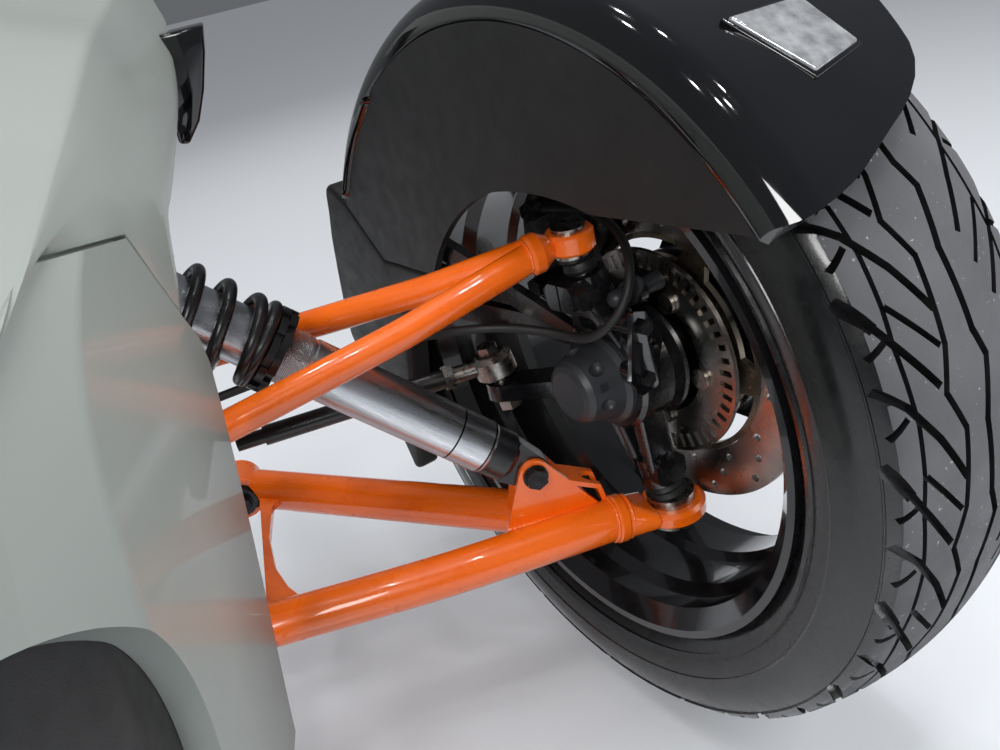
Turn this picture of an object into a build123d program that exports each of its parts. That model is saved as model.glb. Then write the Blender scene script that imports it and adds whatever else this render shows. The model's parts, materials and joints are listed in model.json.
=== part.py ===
from build123d import *
import math
import os

# Left front wheel and suspension corner of a three wheeled motorcycle.
# Lengths are millimetres. While a piece is drawn, the origin is the centre of the wheel
# when it points straight ahead: +X outboard, +Y rearward, +Z up.

# Origin of the finished part, seen from the wheel centre: middle of the four frame bolts
BOLT_FACE_X = -420.0
BOLT_MID_Y = 75.0
BOLT_MID_Z = 30.0

# Steering line between the two ball joints, and the turn of the wheel as it stands
UPPER_BALL = (-44.3, 7.1, 110.0)
LOWER_BALL = (-5.5, -13.5, -125.0)
STEER_AT_REST = 22.0

# Fits
GAP = 0.3
RUNNING = 0.05

# Wheel and tyre
TYRE_R = 281.0
TYRE_HALF = 77.0
TYRE_WALL = 9.0
SEAT_R = 190.5
FLANGE_R = 203.0
RIM_HALF = 63.5
RIM_LIP = 6.5
RIM_WALL = 6.0
WELL_R = 178.0
SPOKES = 5
FIRST_SPOKE = 25.0
SPOKE_HALF = 17.0
SPOKE_WAIST = 11.0
SPOKE_BOW_R = 92.0
SPOKE_BOW_X = 68.0
SPOKE_THICK = 11.0
SPOKE_POCKET = 7.0
SPOKE_EDGE = 4.0
HUB_FACE_X = 46.0
SPIDER_R = 72.0
SPIDER_THICK = 13.0
WHEEL_BORE_R = 30.0
STUD_CIRCLE_R = 52.0
STUDS = 5
STUD_R = 6.0
STUD_HEAD_R = 8.0
STUD_HEAD_THICK = 3.0
NUT_R = 10.0
NUT_HIGH = 12.0

# Hub and bearing
SPINDLE_R = 22.0
BEARING_R = 34.0
BARREL_R = 44.0
BARREL_X0 = -40.0
BARREL_X1 = 2.0
HUB_NECK_R = 40.0
HUB_FLANGE_R = 62.0

# Brake
DISC_X = 28.0
DISC_THICK = 5.0
DISC_R = 132.0
DISC_INNER_R = 92.0
DISC_HOLE_R = 3.4
DISC_ROWS = [(101, 0), (112, 8), (123, 16)]
DISC_HOLES = 15
CARRIER_ARMS = 5
CARRIER_FIRST = 63.0
CARRIER_RING = 12.0
RING_X = 10.0
RING_THICK = 4.0
RING_R = 84.5
RING_INNER_R = 50.0
RING_SLOTS = 48
RING_SLOT_R0 = 70.0
RING_SLOT_R1 = 81.5
RING_SLOT_WIDE = 4.6
CALIPER_ANGLE = 132.0
CALIPER_X0 = -6.0
CALIPER_X1 = 51.0
CALIPER_R0 = 96.0
CALIPER_R1 = 158.0
CALIPER_HALF = 50.0
CALIPER_SLOT = 19.0
PISTON_R = 19.0
PISTON_SPREAD = 24.0
LUG_SPREAD = 20.0
LUG_R = 106.0
LUG_THICK = 12.0

# Inboard cap of the hub
CAP_R = 31.0
CAP_TIP_R = 24.0
CAP_LENGTH = 36.0
CAP_DIMPLES = 6

# Knuckle clamps along the steering line, as lowest and highest height
PIN_R = 8.0
CLAMP_R = 16.5
UPPER_CLAMP = (60.0, 84.0)
LOWER_CLAMP = (-100.0, -74.0)
PINCH_R = 4.0
PINCH_OUT = 18.0
PINCH_HIGH = 20.0
CLAMP_FACE = 17.0
SLIT = 2.0

# Speed sensor and the plate in front of the knuckle
PLATE_Y = -49.0
PLATE_THICK = 4.0
PLATE_SCREWS = [(-44, 14), (-40, 52)]
SENSOR_AT = (-24.0, 66.0)
SENSOR_R = 7.0
SENSOR_CLEAR = 5.0

# Lower arm
LOWER_PIVOT_X = -352.0
LOWER_PIVOT_Z = -110.0
LOWER_FRONT_Y = -22.0
LOWER_REAR_Y = 190.0
LOWER_TUBE_R = 17.0
REAR_TUBE_R = 18.0
LOWER_NECK_X = -56.0
LOWER_BUSH_R = 20.0
LOWER_BUSH_HALF = 20.0
LOWER_EYE_R = 27.5
LOWER_EYE_BORE_R = 19.5
LOWER_EYE_BELOW = 9.0
LOWER_EYE_ABOVE = 5.0
LOWER_STUD_BALL_R = 13.0
BRACE_THICK = 6.0
SHOCK_EAR = 4.0
SHOCK_EAR_R = 13.0

# Upper arm
UPPER_PIVOT_X = -335.0
UPPER_PIVOT_Z = 66.0
UPPER_FRONT_Y = -40.0
UPPER_REAR_Y = 100.0
UPPER_TUBE_R = 11.0
UPPER_BUSH_R = 16.0
UPPER_BUSH_HALF = 15.0
UPPER_BOSS_R = 18.0
UPPER_BOSS_BORE_R = 13.0
UPPER_BOSS_BELOW = 8.0
UPPER_BOSS_ABOVE = 8.0
UPPER_STUD_BALL_R = 9.0

# Ball housings, below and above the centre of the ball
LOWER_HOUSING = (15.0, 13.0)
UPPER_HOUSING = (12.0, 11.0)

# Bushes and their bolts
BUSH_WALL = 4.0
BOLT_R = 6.0
HEAD_R = 10.0
HEAD_HIGH = 6.0
EAR_THICK = 5.0

# Shock absorber between the lower arm and the tower
SHOCK_LOW = (-109.5, 3.0, -63.0)
SHOCK_TOP = (-369.5, 33.0, 182.0)
SHOCK_BODY_R = 21.0
SHOCK_BODY_FROM = 41.0
SHOCK_BODY_TO = 312.0
SHOCK_EYE_R = 14.0
SHOCK_EYE_HALF = 8.5
SHAFT_R = 7.0
COLLAR_AT = 214.0
COLLAR_R = 32.0
COLLAR_THICK = 5.5
COLLAR_NOTCHES = 10
SPRING_R = 28.5
SPRING_WIRE_R = 4.6
SPRING_TURNS = 4.2
SPRING_SEAT = 8.0

# Frame section
RAIL_X = -394.0
LOWER_RAIL_Z = -112.0
UPPER_RAIL_Z = 72.0
RAIL_HALF = 18.0
RAIL_WALL = 3.0
POST_HALF = 16.0
POST_WALL = 3.0
FRONT_POST_Y = -20.0
REAR_POST_LOW_Y = 170.0
REAR_POST_HIGH_Y = 130.0
TOWER_X = -400.0
TOWER_THICK = 18.0
TOWER_ABOVE = 20.0
TOWER_EAR_R = 14.0
BOLT_SPAN_Y = 320.0
BOLT_SPAN_Z = 300.0
FOOT_THICK = 8.0
FOOT_HOLE_R = 6.5
FOOT_EDGE = 20.0

# Tie rod
ARM_END = (-74.5, 91.3, -18.0)
ARM_HALF = 9.0
ARM_THICK = 14.0
ROD_END_AT = 23.0
TIE_INNER = (-322.0, 66.0, 0.0)
TIE_ROD_R = 8.0
TIE_THREAD_R = 6.0
TIE_THREAD = 22.0
ROD_EYE_R = 17.0
ROD_EYE_HALF = 10.0
ROD_SHANK = 34.0
JAM_NUT = 8.0

# Fender
FENDER_IN = -106.0
FENDER_OUT = 76.0
FENDER_CORNER_R = 22.0
FENDER_WALL = 3.0
# Fender sections by angle about the axle: crown radius and depth of the side walls
FENDER_ROWS = [(33, 304, 26), (60, 304, 26), (92, 297, 25), (120, 290, 23), (148, 290, 23)]
FENDER_FRONT = 42.0
FENDER_SEAM = 0.6
BRACKET_ANGLE = 147.0
BRACKET_THICK = 7.0
LAMP_ANGLE = 50.0
LAMP_SHAPE = [(-35, -19), (9, -10), (2, 32), (-55, 32)]
LAMP_HIGH = 3.0

# Side panel of the nose by height: rear edge, ridge, crease and front end, each as (X, Y)
NOSE_ROWS = [
    (-168, (-336, -75), (-360, -275), (-386, -340), (-412, -400)),
    (-108, (-328, -75), (-351, -278), (-379, -342), (-406, -400)),
    (0, (-313, -75), (-340, -284), (-368, -346), (-397, -400)),
    (100, (-301, -75), (-330, -288), (-358, -346), (-387, -400)),
    (150, (-296, -78), (-326, -284), (-353, -338), (-382, -400)),
    (262, (-289, -110), (-305, -190), (-336, -262), (-382, -400)),
]
NOSE_WALL = 3.5
RIDGE_R = 30.0
ARCH_Y = -430.0
ARCH_Z = 0.0
ARCH_R = 180.0
ARCH_LIP = 16.0
ARCH_LIP_WALL = 4.0
LINER_WALL = 3.0
LINER_MARGIN = 22.0

# Upper body panel by distance along the vehicle: top, crease, shoulder and hem, each as (X, Z)
BODY_ROWS = [
    (300, (-366, 372), (-298, 345), (-284, 288), (-290, 264)),
    (150, (-368, 358), (-299, 332), (-279, 262), (-286, 244)),
    (SHOCK_TOP[1], (-370, 350), (-301, 323), (-281, 246), (-288, 230)),
    (-60, (-369, 346), (-300, 318), (-284, 238), (-291, 221)),
    (-135, (-370, 336), (-304, 302), (-290, 232), (-299, 206)),
    (-173, (-372, 326), (-309, 290), (-292, 243), (-298, 222)),
    (-262, (-384, 294), (-326, 257), (-318, 243), (-323, 226)),
]
HOOD_ROWS = [
    (-262, (-384, 294), (-326, 257)),
    (-330, (-402, 258), (-352, 222)),
    (-400, (-424, 210), (-380, 182)),
]
SEAM_TUCK = 14.0
BODY_WALL = 5.5
SEAM = 1.2

# Stays: height, share of the way forward along the side panel's rear facet, and room for its slope
STAYS = [(-108, 0.16, 3.0), (150, 0.2, 1.2)]
STAY_THICK = 3.0
STAY_WIDE = 24.0
STAY_CLEAR = 1.6

# Brake hose and sensor lead
HOSE_R = 3.5
HOSE_ROUTE = [
    (-374, 62, 40), (-322, 64, 44), (-262, 58, 52), (-204, 42, 58), (-150, 26, 60), (-104, 14, 56),
    (-70, -8, 48), (-52, -38, 48), (-27, -46, 72), (-13, -30, 98), (-10, 8, 112), (-26, 46, 120),
]
BANJO_AT = (142.0, 125.4)
BANJO_R = 8.0
BANJO_HIGH = 16.0


def vec(point):
    return Vector(*point)


def between(start, end, share):
    """Point on the line from start to end."""
    return vec(start) + (vec(end) - vec(start)) * share


def rod(start, end, radius):
    """Round bar from one point to another."""
    start, end = vec(start), vec(end)
    plane = Plane(origin=start, z_dir=end - start)
    return extrude(plane * Circle(radius), (end - start).length)


def pipe(start, end, radius, bore):
    """Round tube from one point to another."""
    start, end = vec(start), vec(end)
    plane = Plane(origin=start, z_dir=end - start)
    return extrude(plane * (Circle(radius) - Circle(bore)), (end - start).length)


def hexagon(start, direction, radius, high):
    """Bolt head or nut standing on a face."""
    return extrude(Plane(origin=vec(start), z_dir=vec(direction)) * RegularPolygon(radius, 6), high)


def bent_bar(points, radius, bend):
    """Round bar along straight runs joined by tangent arcs."""
    path = FilletPolyline(*[vec(p) for p in points], radius=bend)
    start = vec(points[0])
    plane = Plane(origin=start, z_dir=vec(points[1]) - start)
    return sweep(plane * Circle(radius), path=path)


def turned(points, corner=None):
    """Solid turned about the axle from (x, radius) points."""
    face = make_face(Plane.XZ * Polyline(*points, close=True))
    if corner:
        face = fillet(face.vertices(), corner)
    return revolve(face, axis=Axis.X)


def turned_on(origin, direction, points):
    """Solid turned about any line from (distance, radius) points."""
    face = make_face(Plane.XZ * Polyline(*[(r, d) for d, r in points], close=True))
    return Plane(origin=vec(origin), z_dir=vec(direction)) * revolve(face, axis=Axis.Z)


def plate(points, x, thick, corner=None):
    """Flat plate across the axle from (Y, Z) points."""
    face = make_face(Polyline(*points, close=True))
    if corner:
        face = fillet(face.vertices(), corner)
    return extrude(Plane.YZ * face, thick).moved(Location((x, 0, 0)))


def hull_plate(circles, x, thick):
    """Flat plate round (Y, Z, radius) circles."""
    edges = [Circle(r).edge().moved(Location((y, z))) for y, z, r in circles]
    return extrude(Plane.YZ * make_hull(edges), thick).moved(Location((x, 0, 0)))


def polar(radius, angle):
    """(Y, Z) of a point by radius and by angle from straight ahead, going up."""
    a = math.radians(angle)
    return (-radius * math.cos(a), radius * math.sin(a))


def around_axle(piece, angle):
    """Turn about the axle, from straight ahead going up."""
    return piece.rotate(Axis((0, 0, 0), (-1, 0, 0)), angle)


def ring_of(count, first):
    """Angles of a pattern round the axle."""
    return [first + index * 360 / count for index in range(count)]


def ear(center, radius, foot0, foot1, y0, y1):
    """Flat ear with a round end about a pivot along Y, standing on a foot line, as (X, Z) points."""
    top = Circle(radius).edge().moved(Location(center))
    flat = Plane.XZ * make_hull([top, Line(foot0, foot1)])
    return extrude(flat, -(y1 - y0)).moved(Location((0, y0, 0)))


# Steering line
def kingpin(z):
    share = (z - LOWER_BALL[2]) / (UPPER_BALL[2] - LOWER_BALL[2])
    return between(LOWER_BALL, UPPER_BALL, share)


def kingpin_up():
    return (vec(UPPER_BALL) - vec(LOWER_BALL)).normalized()


def steered(piece):
    """Turn a straight ahead piece to the wheel's angle at rest."""
    return piece.rotate(Axis(LOWER_BALL, kingpin_up()), STEER_AT_REST)


def steered_point(point):
    return steered(Vertex(*point)).center()


# Tyre
def make_tyre():
    side = TYRE_HALF
    shoulder_x = side - 14
    shoulder_r = TYRE_R - 9
    belly_r = 0.5 * (FLANGE_R + TYRE_R) - 4
    bead_r = SEAT_R + GAP
    bead_x = RIM_HALF - GAP
    bead_in = bead_x - 1.6 * TYRE_WALL
    inner_x = shoulder_x - TYRE_WALL
    inner_r = shoulder_r - TYRE_WALL
    belly_x = side - TYRE_WALL
    outer = [
        Line((-bead_x, bead_r), (-bead_x, FLANGE_R)),
        ThreePointArc((-bead_x, FLANGE_R), (-side, belly_r), (-shoulder_x, shoulder_r)),
        ThreePointArc((-shoulder_x, shoulder_r), (0, TYRE_R), (shoulder_x, shoulder_r)),
        ThreePointArc((shoulder_x, shoulder_r), (side, belly_r), (bead_x, FLANGE_R)),
        Line((bead_x, FLANGE_R), (bead_x, bead_r)),
        Line((bead_x, bead_r), (bead_in, bead_r)),
        ThreePointArc((bead_in, bead_r), (belly_x, belly_r), (inner_x, inner_r)),
        ThreePointArc((inner_x, inner_r), (0, TYRE_R - TYRE_WALL - 2), (-inner_x, inner_r)),
        ThreePointArc((-inner_x, inner_r), (-belly_x, belly_r), (-bead_in, bead_r)),
        Line((-bead_in, bead_r), (-bead_x, bead_r)),
    ]
    return revolve(Plane.XZ * make_face(outer), axis=Axis.X)


# Wheel rim with its spokes
def spoke_plan(half, waist, r0, r1):
    """Plan of a spoke that runs outward along +Z, as (Y, Z)."""
    bow = SPOKE_BOW_R
    return [(-half, r0), (-waist, bow), (-waist, bow + 40), (-half, r1), (half, r1), (waist, bow + 40),
            (waist, bow), (half, r0)]


def make_spoke():
    """Bowed spoke with a pocket in its inboard side."""
    root_r, end_r = SPIDER_R - 10, SEAT_R - 3
    face_x = HUB_FACE_X

    def side(x_shift):
        return make_face(Polyline(
            (face_x + x_shift, root_r), (face_x + SPIDER_THICK, root_r), (SPOKE_BOW_X + SPOKE_THICK, SPOKE_BOW_R),
            (RIM_HALF + 5, end_r), (RIM_HALF - 4 + x_shift, end_r), (SPOKE_BOW_X + x_shift, SPOKE_BOW_R),
            close=True))
    spoke = extrude(Plane.XZ * side(0), SPOKE_HALF + 1, both=True)
    spoke &= plate(spoke_plan(SPOKE_HALF, SPOKE_WAIST, root_r, end_r), 0, 100)
    inside = extrude(Plane.XZ * side(0), SPOKE_HALF, both=True) - extrude(Plane.XZ * side(SPOKE_POCKET), 40, both=True)
    inside &= plate(spoke_plan(SPOKE_HALF - SPOKE_EDGE, SPOKE_WAIST - SPOKE_EDGE, SPIDER_R + 6, end_r - 10), 0, 100)
    return spoke - inside


def make_rim():
    lip = RIM_HALF + RIM_LIP
    barrel = turned([
        (-lip, FLANGE_R), (-RIM_HALF, FLANGE_R), (-RIM_HALF, SEAT_R), (-40, SEAT_R), (-30, WELL_R + 6),
        (4, WELL_R + 6), (10, WELL_R), (32, WELL_R), (42, SEAT_R), (RIM_HALF, SEAT_R),
        (RIM_HALF, FLANGE_R), (lip, FLANGE_R), (lip, FLANGE_R - 6), (60, SEAT_R - RIM_WALL),
        (45, SEAT_R - RIM_WALL), (36, WELL_R - RIM_WALL), (8, WELL_R - RIM_WALL), (2, WELL_R),
        (-32, WELL_R), (-42, SEAT_R - RIM_WALL), (-58, SEAT_R - RIM_WALL), (-lip, FLANGE_R - 6),
    ])
    face_x = HUB_FACE_X
    rim = barrel + turned([
        (face_x, WHEEL_BORE_R), (face_x, SPIDER_R), (face_x + SPIDER_THICK, SPIDER_R),
        (face_x + SPIDER_THICK + 4, WHEEL_BORE_R),
    ])
    spoke = make_spoke()
    for angle in ring_of(SPOKES, FIRST_SPOKE):
        rim += around_axle(spoke, angle - 90)
    for angle in ring_of(STUDS, FIRST_SPOKE + 36):
        y, z = polar(STUD_CIRCLE_R, angle)
        rim -= rod((face_x - 5, y, z), (face_x + 40, y, z), STUD_R + GAP)
    return rim


# Hub: flange that carries wheel, disc and tone ring, with the spindle through the bearing
def make_hub():
    hub = turned([
        (BARREL_X0 + 4, 0), (BARREL_X0 + 4, SPINDLE_R), (BARREL_X1 + GAP, SPINDLE_R),
        (BARREL_X1 + GAP, HUB_NECK_R), (RING_X, HUB_NECK_R), (RING_X, RING_INNER_R - GAP),
        (RING_X + RING_THICK, RING_INNER_R - GAP), (RING_X + RING_THICK, HUB_FLANGE_R),
        (HUB_FACE_X - GAP, HUB_FLANGE_R), (HUB_FACE_X - GAP, WHEEL_BORE_R - GAP),
        (HUB_FACE_X + SPIDER_THICK, WHEEL_BORE_R - GAP), (HUB_FACE_X + SPIDER_THICK, 0),
    ])
    for angle in ring_of(STUDS, FIRST_SPOKE + 36):
        y, z = polar(STUD_CIRCLE_R, angle)
        hub -= rod((RING_X - 1, y, z), (HUB_FACE_X + 1, y, z), STUD_R + GAP)
    return hub


def make_studs():
    """Pressed studs with their round heads on the tone ring and their nuts on the wheel."""
    studs = []
    nut_x = HUB_FACE_X + SPIDER_THICK + 4 + GAP
    for angle in ring_of(STUDS, FIRST_SPOKE + 36):
        y, z = polar(STUD_CIRCLE_R, angle)
        stud = rod((RING_X - GAP, y, z), (nut_x + NUT_HIGH + 3, y, z), STUD_R)
        stud += rod((RING_X - GAP - STUD_HEAD_THICK, y, z), (RING_X - GAP, y, z), STUD_HEAD_R)
        studs.append(stud + hexagon((nut_x, y, z), (1, 0, 0), NUT_R, NUT_HIGH))
    return Compound(children=studs)


def make_centre_cap():
    x0 = HUB_FACE_X + SPIDER_THICK + 4 + GAP
    return turned([(x0, 0), (x0, WHEEL_BORE_R + 2), (x0 + 5, WHEEL_BORE_R), (x0 + 8, WHEEL_BORE_R - 12), (x0 + 8, 0)])


# Toothed ring that the speed sensor reads
def make_tone_ring():
    face = Plane.YZ * (Circle(RING_R) - Circle(RING_INNER_R))
    ring = extrude(face, RING_THICK)
    mid = 0.5 * (RING_SLOT_R0 + RING_SLOT_R1)
    slot = Rectangle(RING_SLOT_R1 - RING_SLOT_R0, RING_SLOT_WIDE)
    slots = Sketch() + PolarLocations(mid, RING_SLOTS) * slot
    ring -= extrude(Plane.YZ * slots, RING_THICK)
    ring = ring.moved(Location((RING_X, 0, 0)))
    for angle in ring_of(STUDS, FIRST_SPOKE + 36):
        y, z = polar(STUD_CIRCLE_R, angle)
        ring -= rod((RING_X - 1, y, z), (RING_X + RING_THICK + 1, y, z), STUD_R + GAP)
    return ring


# Brake disc with its drilled holes, and the arms that carry it
def make_disc():
    face = Circle(DISC_R) - Circle(DISC_INNER_R)
    holes = Sketch()
    for radius, shift in DISC_ROWS:
        holes += PolarLocations(radius, DISC_HOLES, start_angle=shift) * Circle(DISC_HOLE_R)
    disc = extrude(Plane.YZ * (face - holes), DISC_THICK)
    return disc.moved(Location((DISC_X, 0, 0)))


def make_carrier():
    inner = HUB_FLANGE_R + GAP
    face = Circle(inner + CARRIER_RING) - Circle(inner)
    arm = make_face(Polyline((inner + 6, -16), (DISC_INNER_R - 2, -10), (DISC_INNER_R - 2, 10), (inner + 6, 16),
                             close=True))
    for angle in ring_of(CARRIER_ARMS, 180 - CARRIER_FIRST):
        face += Rot(0, 0, angle) * arm
    face += Circle(DISC_INNER_R - GAP) - Circle(DISC_INNER_R - 5)
    return extrude(Plane.YZ * face, DISC_THICK).moved(Location((DISC_X, 0, 0)))


# Knuckle: bearing barrel, clamps for the two ball joints, twin struts and steering arm
def strut(start, end, width_start, width_end, depth):
    """Tapered bar of rectangular section with rounded edges, wide along Y."""
    start, end = vec(start), vec(end)
    plane = Plane(origin=start, x_dir=(0, 1, 0), z_dir=end - start)
    length = (end - start).length
    first = plane * RectangleRounded(width_start, depth, 4)
    last = plane.offset(length) * RectangleRounded(width_end, depth, 4)
    return loft([first, last])


def tie_point(distance):
    """Point on the tie rod pin, which is parallel to the steering line."""
    return vec(ARM_END) + kingpin_up() * distance


def clamp_mid(clamp):
    return kingpin(0.5 * (clamp[0] + clamp[1]))


def make_knuckle():
    upper, lower = clamp_mid(UPPER_CLAMP), clamp_mid(LOWER_CLAMP)
    body = turned([
        (BARREL_X0, BEARING_R - 2), (BARREL_X0, BARREL_R - 3), (BARREL_X0 + 3, BARREL_R), (BARREL_X1 - 12, BARREL_R),
        (BARREL_X1 - 4, BARREL_R + 3), (BARREL_X1, BARREL_R + 3), (BARREL_X1, BEARING_R - 2),
    ])
    body += rod(kingpin(UPPER_CLAMP[0]), kingpin(UPPER_CLAMP[1]), CLAMP_R)
    body += rod(kingpin(LOWER_CLAMP[0]), kingpin(LOWER_CLAMP[1]), CLAMP_R)
    pinch = Plane(origin=upper, x_dir=(0, 1, 0), z_dir=(-1, 0, 0)) * RectangleRounded(30, PINCH_HIGH, 6)
    body += extrude(pinch, PINCH_OUT + 10)
    face = Plane(origin=lower, x_dir=(1, 0, 0), z_dir=(0, -1, 0)) * RectangleRounded(30, PINCH_HIGH, 6)
    body += extrude(face, CLAMP_FACE)
    for angle in (CALIPER_ANGLE - LUG_SPREAD, CALIPER_ANGLE + LUG_SPREAD):
        lug = [(*polar(24, CALIPER_ANGLE), 13), (*polar(LUG_R, angle), 10)]
        body += hull_plate(lug, CALIPER_X0 - GAP - LUG_THICK, LUG_THICK)
    body += strut((-24, 0, 20), (upper.X, upper.Y, upper.Z - 4), 60, 30, 28)
    body += strut((-22, -20, -25), (lower.X - 3, lower.Y - 8, lower.Z + 4), 15, 12, 26)
    body += strut((-22, 15, -25), (lower.X - 3, lower.Y + 8, lower.Z + 4), 15, 12, 26)
    arm = make_hull([
        Circle(14).edge().moved(Location((ARM_END[0], ARM_END[1]))),
        Circle(15).edge().moved(Location((-18, 31))),
    ])
    body += extrude(arm, ARM_THICK).moved(Location((0, 0, ARM_END[2] - 0.5 * ARM_THICK)))
    for x, z in PLATE_SCREWS:
        body += rod((x, -20, z), (x, PLATE_Y + GAP, z), 8)
    sensor_y, sensor_z = SENSOR_AT
    body += hull_plate([(sensor_y, sensor_z, 11), (-8, 60, 9)], BARREL_X0 + 18, 7)
    body -= strut((-40, 0, 44), (upper.X - 15, upper.Y, upper.Z - 24), 26, 14, 10)
    body -= rod((BARREL_X0 - 1, 0, 0), (BARREL_X1 + 1, 0, 0), BEARING_R)
    body -= rod((BARREL_X0 - CAP_LENGTH - 10, 0, 0), (BARREL_X0, 0, 0), CAP_R + 6.5)
    body -= rod(kingpin(UPPER_CLAMP[0] - 8), kingpin(UPPER_CLAMP[1] + 4), PIN_R)
    body -= rod(kingpin(LOWER_CLAMP[0] - 4), kingpin(LOWER_CLAMP[1] + 8), PIN_R)
    body -= rod(tie_point(-12), tie_point(12), BOLT_R + RUNNING)
    body -= rod((upper.X - PINCH_OUT, upper.Y - 30, upper.Z), (upper.X - PINCH_OUT, upper.Y + 30, upper.Z),
                PINCH_R + GAP)
    body -= Box(60, SLIT, 40).moved(Location((upper.X - 30, upper.Y, upper.Z + 4)))
    body -= rod((lower.X, lower.Y - 30, lower.Z), (lower.X, lower.Y - PIN_R - 2, lower.Z), PINCH_R + GAP)
    for x, z in PLATE_SCREWS:
        body -= rod((x, PLATE_Y - 1, z), (x, PLATE_Y + 14, z), PINCH_R - 1 + GAP)
    return body - rod((BARREL_X0 - 10, sensor_y, sensor_z), (BARREL_X1, sensor_y, sensor_z), SENSOR_R + GAP)


def make_pinch_bolts():
    """Bolt across the upper clamp and screw into the lower clamp's face."""
    upper, lower = clamp_mid(UPPER_CLAMP), clamp_mid(LOWER_CLAMP)
    x = upper.X - PINCH_OUT
    y0, y1 = upper.Y - 15 - GAP, upper.Y + 15 + GAP
    cross = rod((x, y0, upper.Z), (x, y1 + 6, upper.Z), PINCH_R)
    cross += hexagon((x, y0, upper.Z), (0, -1, 0), HEAD_R - 1, HEAD_HIGH)
    cross += hexagon((x, y1, upper.Z), (0, 1, 0), HEAD_R - 2, HEAD_HIGH)
    face_y = lower.Y - CLAMP_FACE - GAP
    screw = rod((lower.X, face_y, lower.Z), (lower.X, lower.Y - PIN_R - 3, lower.Z), PINCH_R)
    screw += hexagon((lower.X, face_y, lower.Z), (0, -1, 0), HEAD_R - 1, HEAD_HIGH)
    return Compound(children=[cross, screw])


def make_bearing():
    return pipe((BARREL_X0 + 4, 0, 0), (BARREL_X1 - 2, 0, 0), BEARING_R - RUNNING, SPINDLE_R + RUNNING)


def make_hub_cap():
    """Cone with round dimples and one square slot for its puller."""
    x0 = BARREL_X0 - GAP
    tip = x0 - CAP_LENGTH
    cap = turned([(x0, 0), (x0, CAP_R + 5), (x0 - 4, CAP_R + 5), (x0 - 7, CAP_R + 1), (x0 - 10, CAP_R),
                  (tip + 6, CAP_TIP_R + 1), (tip + 2, CAP_TIP_R - 2), (tip, CAP_TIP_R - 6), (tip, 0)])
    mid_x = 0.5 * (x0 - 10 + tip + 5)
    mid_r = 0.5 * (CAP_R + CAP_TIP_R)
    for angle in ring_of(CAP_DIMPLES, 45):
        y, z = polar(mid_r + 3, angle)
        cap -= Sphere(6.5).moved(Location((mid_x - 1, y, z)))
    slot = Box(6, 6, 6).moved(Location((mid_x - 1, 0, mid_r + 1)))
    return cap - around_axle(slot, 15 - 90)


def make_ball_pin(center, radius, end_z):
    """Ball with the pin that the knuckle clamps."""
    ball = Sphere(radius).moved(Location(center))
    return ball + rod(center, kingpin(end_z), PIN_R - RUNNING)


def boot(low, high, wide, narrow, bore):
    """Folded rubber boot along the steering line, wide at its low end."""
    start, high = vec(low), vec(high)
    length = (high - start).length
    return turned_on(start, high - start, [
        (0, bore), (0, wide), (0.2 * length, wide + 1), (0.42 * length, wide - 2), (0.6 * length, wide - 1),
        (0.8 * length, narrow + 1), (length, narrow), (length, bore),
    ])


def make_boots():
    """Boots between the arms' ball joints and the knuckle's clamps."""
    low_seat = LOWER_BALL[2] + LOWER_HOUSING[1] + GAP
    high_seat = UPPER_BALL[2] - UPPER_HOUSING[0] - GAP
    low = boot(kingpin(low_seat - 2), kingpin(LOWER_CLAMP[0] - GAP), 16, 12, PIN_R + GAP)
    high = boot(kingpin(high_seat + 2), kingpin(UPPER_CLAMP[1] + 2), 13.5, 12, PIN_R + GAP)
    low -= Box(80, 80, 20).moved(Location((LOWER_BALL[0], LOWER_BALL[1], low_seat - 10)))
    high -= Box(80, 80, 20).moved(Location((UPPER_BALL[0], UPPER_BALL[1], high_seat + 10)))
    return Compound(children=[low, high])


# Ball joint housings, pressed into the arms
def make_housing(center, radius, bore, reach, pin_z):
    """Cup round the ball, open along the steering line towards the knuckle."""
    x, y, z = center
    below, above = reach
    body = rod((x, y, z - below), (x, y, z + above), bore - RUNNING)
    body -= Sphere(radius + RUNNING).moved(Location(center))
    return body - rod(center, kingpin(pin_z), PIN_R + 1.5)


# Speed sensor with the plate that guards the front of the knuckle
def make_sensor_plate():
    outline = [(-48, 66), (-36, 62), (-23, 38), (-29, 24), (-34, 4), (-50, 2), (-58, 16), (-53, 40)]
    face = fillet(make_face(Polyline(*outline, close=True)).vertices(), 3)
    for x, z in PLATE_SCREWS:
        face -= Circle(PINCH_R - 1 + GAP).moved(Location((x, z)))
    face -= Circle(PINCH_R - 1).moved(Location((-33, 38)))
    flat = extrude(Plane.XZ * face, PLATE_THICK).moved(Location((0, PLATE_Y, 0)))
    rib = Plane.XZ * make_face(Polyline((-51, 20), (-48, 20), (-45, 42), (-48, 42), close=True))
    return flat + extrude(rib, PLATE_THICK + 3).moved(Location((0, PLATE_Y, 0)))


def make_plate_screws():
    screws = []
    for x, z in PLATE_SCREWS:
        y = PLATE_Y - PLATE_THICK - GAP
        screws.append(rod((x, y, z), (x, PLATE_Y + 12, z), PINCH_R - 1) + hexagon((x, y, z), (0, -1, 0), 6, 4))
    return Compound(children=screws)


def make_sensor():
    y, z = SENSOR_AT
    back = BARREL_X0 + 4
    body = rod((back, y, z), (RING_X - SENSOR_CLEAR, y, z), SENSOR_R)
    flange = hull_plate([(y, z, 9), (y - 9, z + 9, 6)], BARREL_X0 + 18 - GAP - 4, 4)
    return body + flange + Sphere(SENSOR_R).moved(Location((back, y, z)))


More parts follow.
